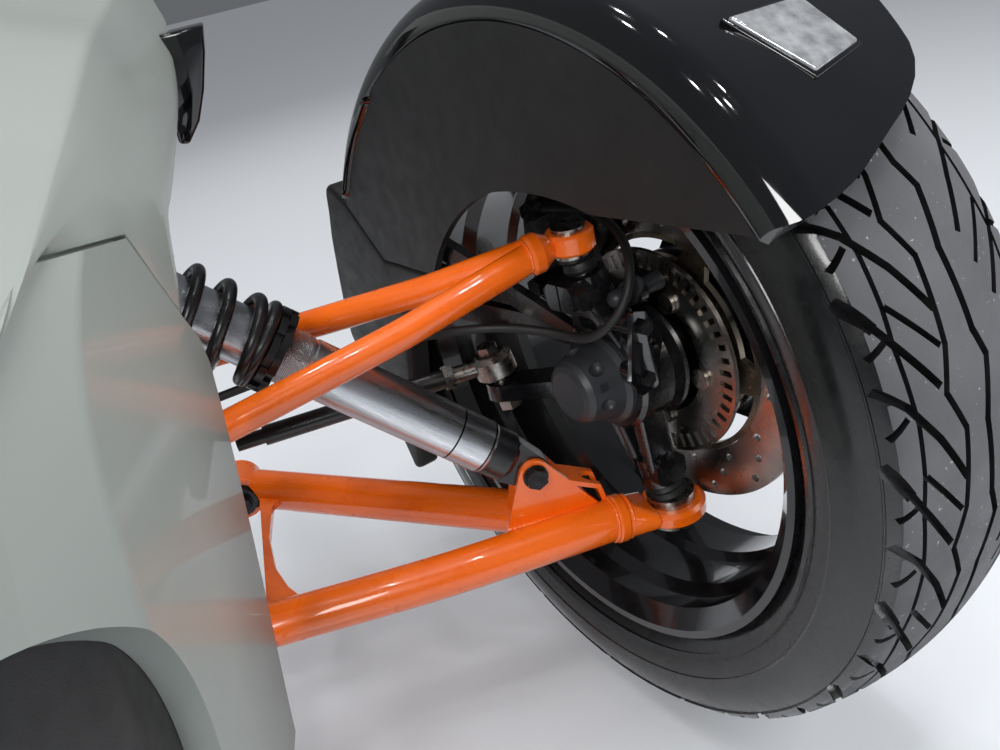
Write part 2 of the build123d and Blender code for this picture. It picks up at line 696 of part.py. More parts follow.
# Caliper astride the disc, behind and above the axle
def make_caliper():
    x0, x1 = CALIPER_X0, CALIPER_X1
    half, r0, r1 = CALIPER_HALF, CALIPER_R0, CALIPER_R1
    outline = [(r0, -half), (r1 - 16, half * -0.86), (r1, half * -0.45), (r1, half * 0.45), (r1 - 16, half * 0.86),
               (r0, half), (r0 - 4, 0)]
    body = extrude(Plane.YZ * make_face(Polyline(*outline, close=True)), x1 - x0).moved(Location((x0, 0, 0)))
    body = chamfer(body.edges().group_by(Axis.X)[0] + body.edges().group_by(Axis.X)[-1], 4)
    for side in (-1, 1):
        body += rod((x1 - 4, r0 + 22, side * PISTON_SPREAD), (x1 + 5, r0 + 22, side * PISTON_SPREAD), PISTON_R)
    slot = Box(CALIPER_SLOT, DISC_R + 5 - r0 + 20, 2 * half + 20)
    body -= slot.moved(Location((DISC_X + 0.5 * DISC_THICK, 0.5 * (DISC_R + 5 + r0 - 20), 0)))
    window = Box(CALIPER_SLOT, 60, 34).moved(Location((DISC_X + 0.5 * DISC_THICK, r1, 0)))
    body -= window
    return around_axle(body.mirror(Plane.XZ), CALIPER_ANGLE)


def make_pads():
    """Brake pads just clear of the disc, inside the caliper's slot."""
    pads = []
    for x in (DISC_X - 0.5 * (CALIPER_SLOT - DISC_THICK) + GAP, DISC_X + DISC_THICK + 1.5):
        pad = Box(5.2, 30, 70).moved(Location((x + 2.6, CALIPER_R0 + 20, 0)))
        pads.append(around_axle(pad.mirror(Plane.XZ), CALIPER_ANGLE))
    return Compound(children=pads)


def make_caliper_bolts():
    """Two bolts from the knuckle's lugs into the caliper."""
    bolts = []
    for angle in (CALIPER_ANGLE - LUG_SPREAD, CALIPER_ANGLE + LUG_SPREAD):
        y, z = polar(LUG_R, angle)
        bolts.append(hexagon((CALIPER_X0 - 2 * GAP - LUG_THICK, y, z), (-1, 0, 0), HEAD_R - 1, HEAD_HIGH + 1))
    return Compound(children=bolts)


# Tie rod with its ball end; its own inner end is threaded for the steering gear
def make_tie_rod():
    up = kingpin_up()
    outer = steered_point(tie_point(ROD_END_AT))
    inner = vec(TIE_INNER)
    along = (inner - outer).normalized()
    eye = turned_on(outer - up * ROD_EYE_HALF, up, [
        (0, 0), (0, ROD_EYE_R - 2), (2, ROD_EYE_R), (2 * ROD_EYE_HALF - 4, ROD_EYE_R),
        (2 * ROD_EYE_HALF, ROD_EYE_R - 5), (2 * ROD_EYE_HALF, 0)])
    eye += rod(outer + along * 10, outer + along * ROD_SHANK, 7)
    eye -= rod(outer - up * 20, outer + up * 20, BOLT_R + RUNNING)
    nut = hexagon(outer + along * (ROD_SHANK + GAP), along, 11, JAM_NUT)
    thread = inner - along * TIE_THREAD
    bar = rod(outer + along * (ROD_SHANK + JAM_NUT + 2 * GAP), thread, TIE_ROD_R)
    return eye, nut, bar + rod(thread, inner, TIE_THREAD_R)


def make_tie_pin():
    low = tie_point(-ARM_HALF - GAP)
    high = tie_point(ROD_END_AT + ROD_EYE_HALF + GAP)
    up = kingpin_up()
    return rod(low, high, BOLT_R) + hexagon(high, up, 9, HEAD_HIGH + 1) + hexagon(low, -up, HEAD_R, HEAD_HIGH + 2)


def make_tie_boot():
    """Rubber boot round the pin between the steering arm and the rod end."""
    low = tie_point(ARM_HALF + 1.5 + GAP)
    return turned_on(low, kingpin_up(), [(0, BOLT_R + GAP), (0, 10), (1, 11.5), (1.6, BOLT_R + GAP)])


# Arms
def make_lower_arm():
    z = LOWER_PIVOT_Z
    x = LOWER_PIVOT_X
    ball = vec(LOWER_BALL)
    eye_mid = ball + Vector(0, 0, 0.5 * (LOWER_EYE_ABOVE - LOWER_EYE_BELOW))
    neck = Vector(LOWER_NECK_X, ball.Y - 5, -119.5)
    front_start = (x + LOWER_BUSH_R - 4, LOWER_FRONT_Y, z)
    arm = bent_bar([front_start, (-194, -27.5, -113.5), neck], LOWER_TUBE_R, 900)
    arm += rod((x + LOWER_BUSH_R - 3, LOWER_REAR_Y - 9, z), (-112, 13, -113), REAR_TUBE_R)
    along = (eye_mid - neck).normalized()
    arm += turned_on(neck - along * 4, along, [(0, 0), (0, LOWER_TUBE_R), (3, LOWER_TUBE_R + 2.5),
                                               (9, LOWER_TUBE_R + 2.5), (13, LOWER_TUBE_R - 1), (13, 0)])
    start = Plane(origin=neck + along * 6, x_dir=(0, 1, 0), z_dir=along)
    end = Plane(origin=eye_mid - along * (LOWER_EYE_BORE_R + 2), x_dir=(0, 1, 0), z_dir=along)
    high = LOWER_EYE_ABOVE + LOWER_EYE_BELOW
    arm += loft([start * RectangleRounded(35, 35, 17), end * RectangleRounded(44, high, 0.45 * high)])
    low_z, top_z = ball.Z - LOWER_EYE_BELOW, ball.Z + LOWER_EYE_ABOVE
    arm += turned_on((ball.X, ball.Y, low_z), (0, 0, 1), [
        (0, 0), (0, LOWER_EYE_R - 3), (3, LOWER_EYE_R), (high - 3, LOWER_EYE_R), (high, LOWER_EYE_R - 3), (high, 0)])
    for y in (LOWER_FRONT_Y, LOWER_REAR_Y):
        arm += rod((x, y - LOWER_BUSH_HALF, z), (x, y + LOWER_BUSH_HALF, z), LOWER_BUSH_R)
    brace = make_face(Polyline(
        (x + 17, -10), (x + 50, -14), (x + 35, 14), (x + 26, 45), (x + 23, 91), (x + 28, 140), (x + 40, 152),
        (x + 17, 174), close=True))
    arm += extrude(brace, BRACE_THICK).moved(Location((0, 0, z - 0.5 * BRACE_THICK)))
    sx, sy, sz = SHOCK_LOW
    y_in = sy - SHOCK_EYE_HALF - GAP
    y_out = sy + SHOCK_EYE_HALF + GAP
    arm += ear((sx, sz), SHOCK_EAR_R, (sx - 31, -104), (sx + 48, -110), y_in - SHOCK_EAR, y_in)
    arm += ear((sx, sz), SHOCK_EAR_R, (sx - 28, -114), (sx + 46, -116), y_out, y_out + SHOCK_EAR)
    ridge = Polyline((sx + 20, sz - 13), (sx + 48, sz - 28), (sx + 53, -117))
    saddle = extrude(Plane.XZ * trace(ridge, SHOCK_EAR), -(y_out - y_in + 2 * SHOCK_EAR))
    saddle = saddle.moved(Location((0, y_in - SHOCK_EAR, 0)))
    arm += saddle - rod((sx + 50, sy, -100), (sx + 38, sy, sz), 8)
    arm -= rod((ball.X, ball.Y, low_z - 30), (ball.X, ball.Y, top_z + 40), LOWER_EYE_BORE_R)
    for y in (LOWER_FRONT_Y, LOWER_REAR_Y):
        arm -= rod((x, y - 2 * LOWER_BUSH_HALF, z), (x, y + 2 * LOWER_BUSH_HALF, z), LOWER_BUSH_R - BUSH_WALL)
    arm -= rod((sx, sy - 40, sz), (sx, sy + 40, sz), BOLT_R + GAP)
    return arm - rod((sx, y_in, sz), (sx, y_out, sz), SHOCK_EYE_R + 1)


def make_upper_arm():
    z = UPPER_PIVOT_Z
    x = UPPER_PIVOT_X
    ball = vec(UPPER_BALL)
    neck = ball + Vector(-24, -4, -1)
    arm = bent_bar([neck, (-180, -21, 88), (x + 12, UPPER_FRONT_Y, z)], UPPER_TUBE_R, 260)
    arm += bent_bar([neck + Vector(-6, 4, 0), (-147, 34, 92.5), (x + 12, UPPER_REAR_Y - 2, z)], UPPER_TUBE_R, 260)
    along = (ball - neck).normalized()
    arm += turned_on(neck - along * 12, along, [(0, 0), (0, UPPER_TUBE_R + 1), (3, UPPER_TUBE_R + 4),
                                                (10, UPPER_TUBE_R + 4), (20, UPPER_TUBE_R - 2), (20, 0)])
    high = UPPER_BOSS_ABOVE + UPPER_BOSS_BELOW
    arm += turned_on(ball - Vector(0, 0, UPPER_BOSS_BELOW), (0, 0, 1), [
        (0, 0), (0, UPPER_BOSS_R - 1.5), (2, UPPER_BOSS_R), (high - 2, UPPER_BOSS_R), (high, UPPER_BOSS_R - 1.5),
        (high, 0)])
    for y in (UPPER_FRONT_Y, UPPER_REAR_Y):
        arm += rod((x, y - UPPER_BUSH_HALF, z), (x, y + UPPER_BUSH_HALF, z), UPPER_BUSH_R)
        arm -= rod((x, y - 2 * UPPER_BUSH_HALF, z), (x, y + 2 * UPPER_BUSH_HALF, z), UPPER_BUSH_R - BUSH_WALL)
    return arm - rod(ball - Vector(0, 0, 40), ball + Vector(0, 0, 40), UPPER_BOSS_BORE_R)


def make_bushes(x, z, ys, radius, half):
    """Rubber bush with its sleeve, one in each pivot eye."""
    pieces = []
    for y in ys:
        pieces.append(pipe((x, y - half, z), (x, y + half, z), radius - BUSH_WALL - GAP, BOLT_R + GAP))
    return Compound(children=pieces)


def cross_bolt(x, y, z, half, ear_thick):
    """Bolt along Y through two ears, with its flanged head in front and its nut behind."""
    reach = half + GAP + ear_thick + GAP
    bolt = rod((x, y - reach - 2, z), (x, y - reach, z), HEAD_R) + rod((x, y - reach, z), (x, y + reach + 10, z), BOLT_R)
    bolt += hexagon((x, y - reach - 2, z), (0, -1, 0), HEAD_R - 1, HEAD_HIGH - 1)
    return bolt + hexagon((x, y + reach, z), (0, 1, 0), HEAD_R, HEAD_HIGH + 1)


def make_pivot_bolts(x, z, ys, half):
    return Compound(children=[cross_bolt(x, y, z, half, EAR_THICK) for y in ys])


def make_shock_bolts():
    ends = ((SHOCK_LOW, SHOCK_EAR), (SHOCK_TOP, EAR_THICK))
    return Compound(children=[cross_bolt(*end, SHOCK_EYE_HALF, thick) for end, thick in ends])


# Shock absorber
AXIS_DIR = (vec(SHOCK_TOP) - vec(SHOCK_LOW)).normalized()
SHOCK_LENGTH = (vec(SHOCK_TOP) - vec(SHOCK_LOW)).length


def along_shock(distance):
    return vec(SHOCK_LOW) + AXIS_DIR * distance


def shock_plane(distance):
    return Plane(origin=along_shock(distance), z_dir=AXIS_DIR)


def on_shock(points):
    """Solid turned about the shock from (distance from its low eye, radius) points."""
    return turned_on(SHOCK_LOW, AXIS_DIR, points)


def make_shock_body():
    """Tube with a shallow groove where its threaded half ends, open for the shaft."""
    r, groove = SHOCK_BODY_R, COLLAR_AT - 22
    return on_shock([
        (SHOCK_BODY_FROM, SHAFT_R + GAP), (SHOCK_BODY_FROM, r - 1), (SHOCK_BODY_FROM + 2, r), (groove, r),
        (groove + 1, r - 1), (groove + 3, r - 1), (groove + 4, r), (SHOCK_BODY_TO, r),
        (SHOCK_BODY_TO, SHAFT_R + GAP)])


def make_shock_foot():
    """Cup on the body with a flat lug that narrows to the eye between the lower arm's ears."""
    low = vec(SHOCK_LOW)
    half = Vector(0, SHOCK_EYE_HALF, 0)
    cup_r = SHOCK_BODY_R - 1
    cup = (along_shock(SHOCK_BODY_FROM - 18).X, along_shock(SHOCK_BODY_FROM - 18).Z)
    across = Vector(AXIS_DIR.Z, -AXIS_DIR.X) * (cup_r - 2)
    lug = Plane.XZ * make_hull([
        Circle(SHOCK_EYE_R).edge().moved(Location((low.X, low.Z))),
        Line((cup[0] + across.X, cup[1] + across.Y), (cup[0] - across.X, cup[1] - across.Y)),
    ])
    foot = extrude(lug, 2 * SHOCK_EYE_HALF).moved(Location((0, low.Y + SHOCK_EYE_HALF, 0)))
    foot += on_shock([(SHOCK_BODY_FROM - 22, 0), (SHOCK_BODY_FROM - 22, cup_r - 5), (SHOCK_BODY_FROM - 17, cup_r),
                      (SHOCK_BODY_FROM - GAP, cup_r), (SHOCK_BODY_FROM - GAP, 0)])
    return foot - rod(low - 2 * half, low + 2 * half, BOLT_R + GAP)


def make_collars():
    """Two notched rings on the threaded body."""
    face = Circle(COLLAR_R) - Circle(SHOCK_BODY_R + GAP)
    face -= PolarLocations(COLLAR_R, COLLAR_NOTCHES) * Rectangle(7, 7)
    rings = []
    for index in range(2):
        start = COLLAR_AT + index * (COLLAR_THICK + GAP)
        turned_face = Rot(0, 0, index * 180 / COLLAR_NOTCHES) * face
        rings.append(extrude(shock_plane(start) * turned_face, COLLAR_THICK))
    return Compound(children=rings)


def make_spring():
    """Coil with one closed turn on the collar."""
    start = COLLAR_AT + 2 * (COLLAR_THICK + GAP) + SPRING_WIRE_R
    end = SHOCK_LENGTH - SHOCK_EYE_R - SPRING_SEAT - 6 - SPRING_WIRE_R
    path = Helix((end - start) / SPRING_TURNS, end - start, SPRING_R)
    section = Plane(origin=path @ 0, z_dir=path % 0) * Circle(SPRING_WIRE_R)
    coil = sweep(section, path=path, is_frenet=True)
    closed = Torus(SPRING_R, SPRING_WIRE_R)
    return shock_plane(start) * (coil + closed)


def make_shock_top():
    """Spring seat, top eye and the shaft that runs down into the body."""
    top = vec(SHOCK_TOP)
    half = Vector(0, SHOCK_EYE_HALF, 0)
    seat = SHOCK_LENGTH - SHOCK_EYE_R - SPRING_SEAT - 6 + GAP
    piece = rod(top - half, top + half, SHOCK_EYE_R)
    piece += on_shock([(seat, 0), (seat, SPRING_R + 7), (seat + SPRING_SEAT, SPRING_R + 7),
                       (seat + SPRING_SEAT + 4, 13), (SHOCK_LENGTH - 6, 13), (SHOCK_LENGTH - 6, 0)])
    piece += rod(along_shock(SHOCK_BODY_FROM + 120), along_shock(seat + 2), SHAFT_R)
    for side in (-1, 1):
        piece -= rod(top + side * half, top + 3 * side * half, TOWER_EAR_R + 3)
    return piece - rod(top - 2 * half, top + 2 * half, BOLT_R + GAP)


# Frame section with its four bolting feet
def rail_ends():
    """Rails reach past the outermost clevis at each end, and no less far than the feet."""
    clevis_half = LOWER_BUSH_HALF + GAP + EAR_THICK
    foot_in = BOLT_SPAN_Y / 2 - 15
    y0 = min(BOLT_MID_Y - foot_in, LOWER_FRONT_Y - clevis_half, UPPER_FRONT_Y - clevis_half)
    y1 = max(BOLT_MID_Y + foot_in, LOWER_REAR_Y + clevis_half, UPPER_REAR_Y + clevis_half)
    return y0, y1


def rail(z):
    y0, y1 = rail_ends()
    outer = RectangleRounded(2 * RAIL_HALF, 2 * RAIL_HALF, 5)
    inner = Rectangle(2 * (RAIL_HALF - RAIL_WALL), 2 * (RAIL_HALF - RAIL_WALL))
    plane = Plane(origin=(RAIL_X, y0, z), x_dir=(1, 0, 0), z_dir=(0, 1, 0))
    return extrude(plane * (outer - inner), y1 - y0)


def feet(rail_z):
    """Two plates from a rail to its bolts, above the upper rail or below the lower one."""
    pieces = Part()
    up = 1 if rail_z > BOLT_MID_Z else -1
    hole_z = BOLT_MID_Z + up * BOLT_SPAN_Z / 2
    z0, z1 = sorted((rail_z - up * RAIL_HALF, hole_z + up * FOOT_EDGE))
    for side in (-1, 1):
        y = BOLT_MID_Y + side * BOLT_SPAN_Y / 2
        y0, y1 = sorted((y - side * 45, y + side * FOOT_EDGE))
        foot = Box(FOOT_THICK, y1 - y0, z1 - z0)
        foot = fillet(foot.edges().filter_by(Axis.X), 8)
        foot = foot.moved(Location((BOLT_FACE_X + FOOT_THICK / 2, 0.5 * (y0 + y1), 0.5 * (z0 + z1))))
        pieces += foot - rod((BOLT_FACE_X - 5, y, hole_z), (BOLT_FACE_X + 20, y, hole_z), FOOT_HOLE_R)
    return pieces


def clevis(x, z, y, half, radius, rail_z):
    """Two ears each side of a bush, standing off a rail."""
    rail_x = RAIL_X + RAIL_HALF - 2
    flat = make_hull([
        Circle(radius).edge().moved(Location((x, z))),
        Line((rail_x, rail_z - RAIL_HALF + 2), (rail_x, rail_z + RAIL_HALF - 2)),
    ])
    pieces = Part()
    for y0 in (y - half - GAP - EAR_THICK, y + half + GAP):
        pieces += extrude(Plane.XZ * flat, -EAR_THICK).moved(Location((0, y0, 0)))
    return pieces - rod((x, y - 60, z), (x, y + 60, z), BOLT_R + GAP)


def make_lower_rail():
    part = rail(LOWER_RAIL_Z) + feet(LOWER_RAIL_Z)
    for y in (LOWER_FRONT_Y, LOWER_REAR_Y):
        part += clevis(LOWER_PIVOT_X, LOWER_PIVOT_Z, y, LOWER_BUSH_HALF, 14, LOWER_RAIL_Z)
    return part


def make_upper_rail():
    part = rail(UPPER_RAIL_Z) + feet(UPPER_RAIL_Z)
    for y in (UPPER_FRONT_Y, UPPER_REAR_Y):
        part += clevis(UPPER_PIVOT_X, UPPER_PIVOT_Z, y, UPPER_BUSH_HALF, 13, UPPER_RAIL_Z)
    return part


def make_post(y0, y1):
    """Square post between the two rails."""
    ends = (Plane(origin=(RAIL_X, y0, LOWER_RAIL_Z + RAIL_HALF + GAP)),
            Plane(origin=(RAIL_X, y1, UPPER_RAIL_Z - RAIL_HALF - GAP)))
    bore = POST_HALF - POST_WALL
    outer = loft([end * Rectangle(2 * POST_HALF, 2 * POST_HALF) for end in ends])
    return outer - loft([end * Rectangle(2 * bore, 2 * bore) for end in ends])


def make_shock_tower():
    """Column on the upper rail with two ears for the top eye of the shock."""
    x, y, z = SHOCK_TOP
    reach = SHOCK_EYE_HALF + GAP
    low = UPPER_RAIL_Z + RAIL_HALF + GAP
    top = z + TOWER_ABOVE
    column = Box(TOWER_THICK, 2 * (reach + EAR_THICK), top - low)
    part = column.moved(Location((TOWER_X, y, 0.5 * (top + low))))
    flat = make_hull([
        Circle(TOWER_EAR_R).edge().moved(Location((x, z))),
        Line((TOWER_X + 4, z - 26), (TOWER_X + 4, top)),
    ])
    for y0 in (y - reach - EAR_THICK, y + reach):
        part += extrude(Plane.XZ * flat, -EAR_THICK).moved(Location((0, y0, 0)))
    return part - rod((x, y - 40, z), (x, y + 40, z), BOLT_R + GAP)


# Side panel of the nose
def nose_section(row, inset, wall):
    """Closed section of the panel, inset from its outer face and as thick as wall."""
    z, *points = row
    outer = [Vector(x - inset, y) for x, y in points]
    inner = [Vector(x - inset - wall, y) for x, y in points]
    face = make_face([
        FilletPolyline(*outer, radius=RIDGE_R),
        Line(outer[-1], inner[-1]),
        FilletPolyline(*reversed(inner), radius=RIDGE_R),
        Line(inner[0], outer[0]),
    ])
    return Plane(origin=(0, 0, z)) * face


def nose_sheet(inset, wall):
    return loft([nose_section(row, inset, wall) for row in NOSE_ROWS])


def seen_from_side(points):
    """Block across the panel, with its outline as (Y, Z) points."""
    return extrude(Plane.YZ * make_face(Polyline(*points, close=True)), 260).moved(Location((-500, 0, 0)))


def seam_line(shift):
    """Seam between the two panels from the side, moved up or down."""
    return [(-160, 240 + shift), (-245, 262 + shift), (-290, 238 + shift), (-400, 178 + shift)]


def nose_outline():
    """Outline of the nose panel with its slanted top, below the seam."""
    return [(-400, -168), (-75, -168), (-75, 128), (-86, 152), (-109, 176), (-136, 208)] + seam_line(-SEAM)


def arch(radius):
    """Round opening in the nose."""
    return rod((-500, ARCH_Y, ARCH_Z), (-250, ARCH_Y, ARCH_Z), radius)


def make_side_panel():
    outline = seen_from_side(nose_outline())
    sheet = (nose_sheet(0, NOSE_WALL) & outline) - arch(ARCH_R)
    rim = nose_sheet(1, ARCH_LIP) & outline & (arch(ARCH_R + ARCH_LIP_WALL) - arch(ARCH_R))
    return sheet + rim


def make_nose_inner():
    """Dark liner behind the round opening, against its turned-in lip."""
    liner = nose_sheet(1 + ARCH_LIP + GAP, LINER_WALL)
    return liner & seen_from_side(nose_outline()) & arch(ARCH_R + ARCH_LIP_WALL + LINER_MARGIN)


# Upper body panel over the shock, with its shoulder line and turned-in hem
def body_section(row, wall):
    y, *points = row
    outer = [Vector(x, z) for x, z in points]
    inner = [Vector(x - wall, z - wall) for x, z in points]
    inner[-1] = Vector(points[-1][0] - wall, points[-1][1])
    face = make_face(Polyline(*outer, *reversed(inner), close=True))
    return Plane(origin=(0, y, 0), x_dir=(1, 0, 0), z_dir=(0, -1, 0)) * face


def body_outline():
    """Side outline of the upper body panel, above the seam."""
    back = BODY_ROWS[0][0]
    return [(back, 200), (-126, 200)] + seam_line(SEAM) + [(-400, 400), (back, 400)]


def make_upper_panel():
    """Side and hood of the body, with a strip tucked behind the lower panel along the seam."""
    side = loft([body_section(row, BODY_WALL) for row in BODY_ROWS])
    hood = loft([body_section(row, BODY_WALL) for row in HOOD_ROWS])
    panel = (side + hood) & seen_from_side(body_outline())
    band = seam_line(-SEAM_TUCK)[:3] + seam_line(3 * SEAM)[2::-1]
    tuck = nose_sheet(NOSE_WALL + GAP, NOSE_WALL) & seen_from_side(band)
    return panel + tuck


def stay_arc(height):
    """Two points on the inside of the panel's rear facet at a height in the table."""
    row = {z: points for z, *points in NOSE_ROWS}[height]
    return [Vector(x - NOSE_WALL, y) for x, y in row[:2]]


def make_panel_stays():
    """Bent straps from the front feet of the frame to the inside of the side panel."""
    pieces = []
    foot_x = BOLT_FACE_X + FOOT_THICK + GAP + STAY_THICK / 2
    foot_y = BOLT_MID_Y - BOLT_SPAN_Y / 2
    for height, share, clear in STAYS:
        rear, ridge = stay_arc(height)
        along = (ridge - rear).normalized()
        inward = Vector(along.Y, -along.X, 0)
        pad = rear + (ridge - rear) * share + inward * (STAY_THICK / 2 + clear)
        far = pad + along * 24
        path = Polyline((foot_x, foot_y + 12), (foot_x, foot_y - 12), (pad.X, pad.Y), (far.X, far.Y))
        strap = extrude(trace(path, STAY_THICK), STAY_WIDE / 2, both=True)
        pieces.append(strap.moved(Location((0, 0, height))))
    return Compound(children=pieces)


def make_top_stay():
    """Bent strap from the top of the shock tower to the inside of the upper panel."""
    top = SHOCK_TOP[2] + TOWER_ABOVE + GAP + STAY_THICK / 2
    y, *points = BODY_ROWS[2]
    high, low = vec(points[1]), vec(points[2])
    down = (low - high).normalized()
    inward = Vector(down.Y, -down.X)
    pad = between(high, low, 0.32) + inward * (BODY_WALL + STAY_THICK / 2 + STAY_CLEAR)
    path = Polyline((TOWER_X - 6, top), (TOWER_X + 22, top), (pad.X, pad.Y), (pad.X + 26 * down.X, pad.Y + 26 * down.Y))
    strap = extrude(Plane.XZ * trace(path, STAY_THICK), STAY_WIDE / 2, both=True)
    return strap.moved(Location((0, y, 0)))


# Fender
def fender_section(row, wall, margin):
    """Hood section across the tyre at one angle, or the wider box that clears it."""
    angle, top, depth = row
    a = math.radians(angle)
    plane = Plane(origin=(0, 0, 0), x_dir=(1, 0, 0), z_dir=(0, -math.sin(a), -math.cos(a)))
    low = top - depth - wall - margin
    left, right, high = FENDER_IN + wall - margin, FENDER_OUT - wall, top - wall + margin
    face = make_face(Polyline((left, low), (left, high), (right, high), (right, low), close=True))
    if margin:
        return plane * face
    return plane * fillet(face.vertices().group_by(Axis.Y)[-1], FENDER_CORNER_R - wall)


def outward_plane(angle):
    """Plane that faces out from the axle at an angle, its second axis along the tread."""
    a = math.radians(angle)
    return Plane(origin=(0, 0, 0), x_dir=(1, 0, 0), z_dir=(0, -math.cos(a), math.sin(a)))


def make_fender_shell():
    """Hood over the tyre with its front edge cut back in a curve."""
    shell = loft([fender_section(row, 0, 0) for row in FENDER_ROWS])
    shell -= loft([fender_section(row, FENDER_WALL, 0) for row in FENDER_ROWS])
    front = make_face([
        Polyline((90, 150), (150, 150), (150, -120), (-120, -120), (-120, -24), (-107, -26)),
        ThreePointArc((-107, -26), (-103, -36.5), (-92, -41)),
        Polyline((-92, -41), (-75, -42), (8, -9)),
        ThreePointArc((8, -9), (33, 9), (46, 33)),
        Polyline((46, 33), (62, 90), (90, 150)),
    ])
    return shell - extrude(outward_plane(FENDER_FRONT).offset(120) * front, 260)


def shell_room(past, margin):
    """Space of the shell with a margin about it, going past both of its ends."""
    first, last = FENDER_ROWS[0], FENDER_ROWS[-1]
    rows = FENDER_ROWS
    if past:
        rows = [(first[0] - past, *first[1:])] + FENDER_ROWS + [(last[0] + past, *last[1:])]
    return loft([fender_section(row, 0, margin) for row in rows])


def make_fender_inner():
    """Flat inboard panel with the wheel opening, its edge turned in."""
    face = make_face([
        Line((-234, 161), (-101, 159)),
        ThreePointArc((-101, 159), (-45, 167), (0, 164)),
        ThreePointArc((0, 164), (56, 139), (106, 89)),
        Polyline((106, 89), polar(206, 154), polar(266, 150), polar(288, 148)),
        ThreePointArc(polar(288, 148), polar(288, 92), (-234, 161)),
    ])
    sheet = extrude(Plane.YZ * face, FENDER_WALL)
    lip = face - face.moved(Location((0, FENDER_WALL)))
    sheet += extrude(Plane.YZ * lip, 2 * FENDER_WALL)
    return sheet.moved(Location((FENDER_IN, 0, 0))) - shell_room(6, 2 * GAP)


def make_fender_flap():
    """Rear lower part of the inboard panel, standing out past the shell."""
    top = FENDER_ROWS[-1][0] + 0.3
    s = FENDER_SEAM
    seam = [(106 + s, 89 - s), (polar(206, 154)[0] + s, polar(206, 154)[1] - s),
            (polar(267, 150)[0] + s, polar(267, 150)[1] - s), polar(268, top), polar(291, top)]
    face = make_face([
        Polyline(*seam, polar(291, 150), polar(307, 152)),
        ThreePointArc(polar(307, 152), polar(299, 164), polar(304, 180)),
        Polyline(polar(304, 180), polar(268, 196), polar(268, 210), polar(179, 162), seam[0]),
    ])
    flap = extrude(Plane.YZ * face, FENDER_WALL)
    edge = ThreePointArc(polar(303, 154), polar(296, 164), polar(301, 179))
    flap += extrude(Plane.YZ * trace(edge, FENDER_WALL), 24)
    return flap.moved(Location((FENDER_IN, 0, 0)))


def make_fender_bracket():
    """Two flat arms from the rear of the knuckle, out through the arch to the inner panel."""
    x = FENDER_IN + FENDER_WALL + GAP + BRACKET_THICK / 2
    foot = Vector(BARREL_X0 + 6, *polar(BARREL_R + 4, BRACKET_ANGLE))
    part = Part()
    for angle in (BRACKET_ANGLE - 12, BRACKET_ANGLE + 12):
        a = math.radians(angle)
        knee = Vector(x, *polar(166, angle))
        end = Vector(x, *polar(240, angle))
        for start, stop in ((foot, knee), (knee, end)):
            plane = Plane(origin=start, x_dir=(0, math.sin(a), math.cos(a)), z_dir=stop - start)
            part += extrude(plane * Rectangle(20, BRACKET_THICK), (stop - start).length)
    return part


def make_lamp():
    """Low lens on the crown of the fender."""
    inner = FENDER_ROWS[0][1] - LAMP_HIGH
    lens = extrude(outward_plane(LAMP_ANGLE).offset(inner - 20) * make_face(Polyline(*LAMP_SHAPE, close=True)), 60)
    ring = rod((LAMP_SHAPE[3][0] - 10, 0, 0), (LAMP_SHAPE[1][0] + 10, 0, 0), inner + 3 * LAMP_HIGH)
    return (lens & ring) - shell_room(0, GAP)


# Cords
def corner_radii(points):
    """Largest arc that the runs beside each corner leave room for."""
    radii = []
    for before, here, after in zip(points, points[1:], points[2:]):
        run_in, run_out = here - before, after - here
        half_turn = math.radians(run_in.get_angle(run_out)) / 2
        radii.append(0.45 * min(run_in.length, run_out.length) / math.tan(half_turn))
    return radii


def cord(points, radius):
    radii = corner_radii(points)
    print("cord radii", [round(r) for r in radii])
    path = FilletPolyline(*points, radius=radii)
    plane = Plane(origin=points[0], z_dir=points[1] - points[0])
    return sweep(plane * Circle(radius), path=path)


def hose_points():
    """Route of the hose, ending at the drum of its union on the caliper."""
    route = [vec(p) for p in HOSE_ROUTE]
    drum = steered_point((CALIPER_X0 - 0.6 * BANJO_HIGH, *polar(*BANJO_AT)))
    along = (drum - route[-1]).normalized()
    return route + [drum - along * (BANJO_R + GAP)]


def make_brake_hose():
    return cord(hose_points(), HOSE_R)


def make_banjo():
    """Drum and bolt of the hose's union on the caliper."""
    foot = (CALIPER_X0 - GAP, *polar(*BANJO_AT))
    drum = rod(foot, (foot[0] - BANJO_HIGH, *foot[1:]), BANJO_R)
    return drum + hexagon((foot[0] - BANJO_HIGH, *foot[1:]), (-1, 0, 0), BANJO_R, 5)


def union_block(point, direction, radius, long):
    """Hose end: a collar with a hexagon behind it."""
    start = vec(point)
    along = vec(direction).normalized()
    sleeve = pipe(start - along * 2, start + along * long, radius + 2, radius + GAP)
    return sleeve + hexagon(start - along * (2 + 7), along, radius + 4, 7 - GAP)


def make_hose_end():
    """Union that joins the hose to the frame."""
    first, second = vec(HOSE_ROUTE[0]), vec(HOSE_ROUTE[1])
    return union_block(first, second - first, HOSE_R, 14)


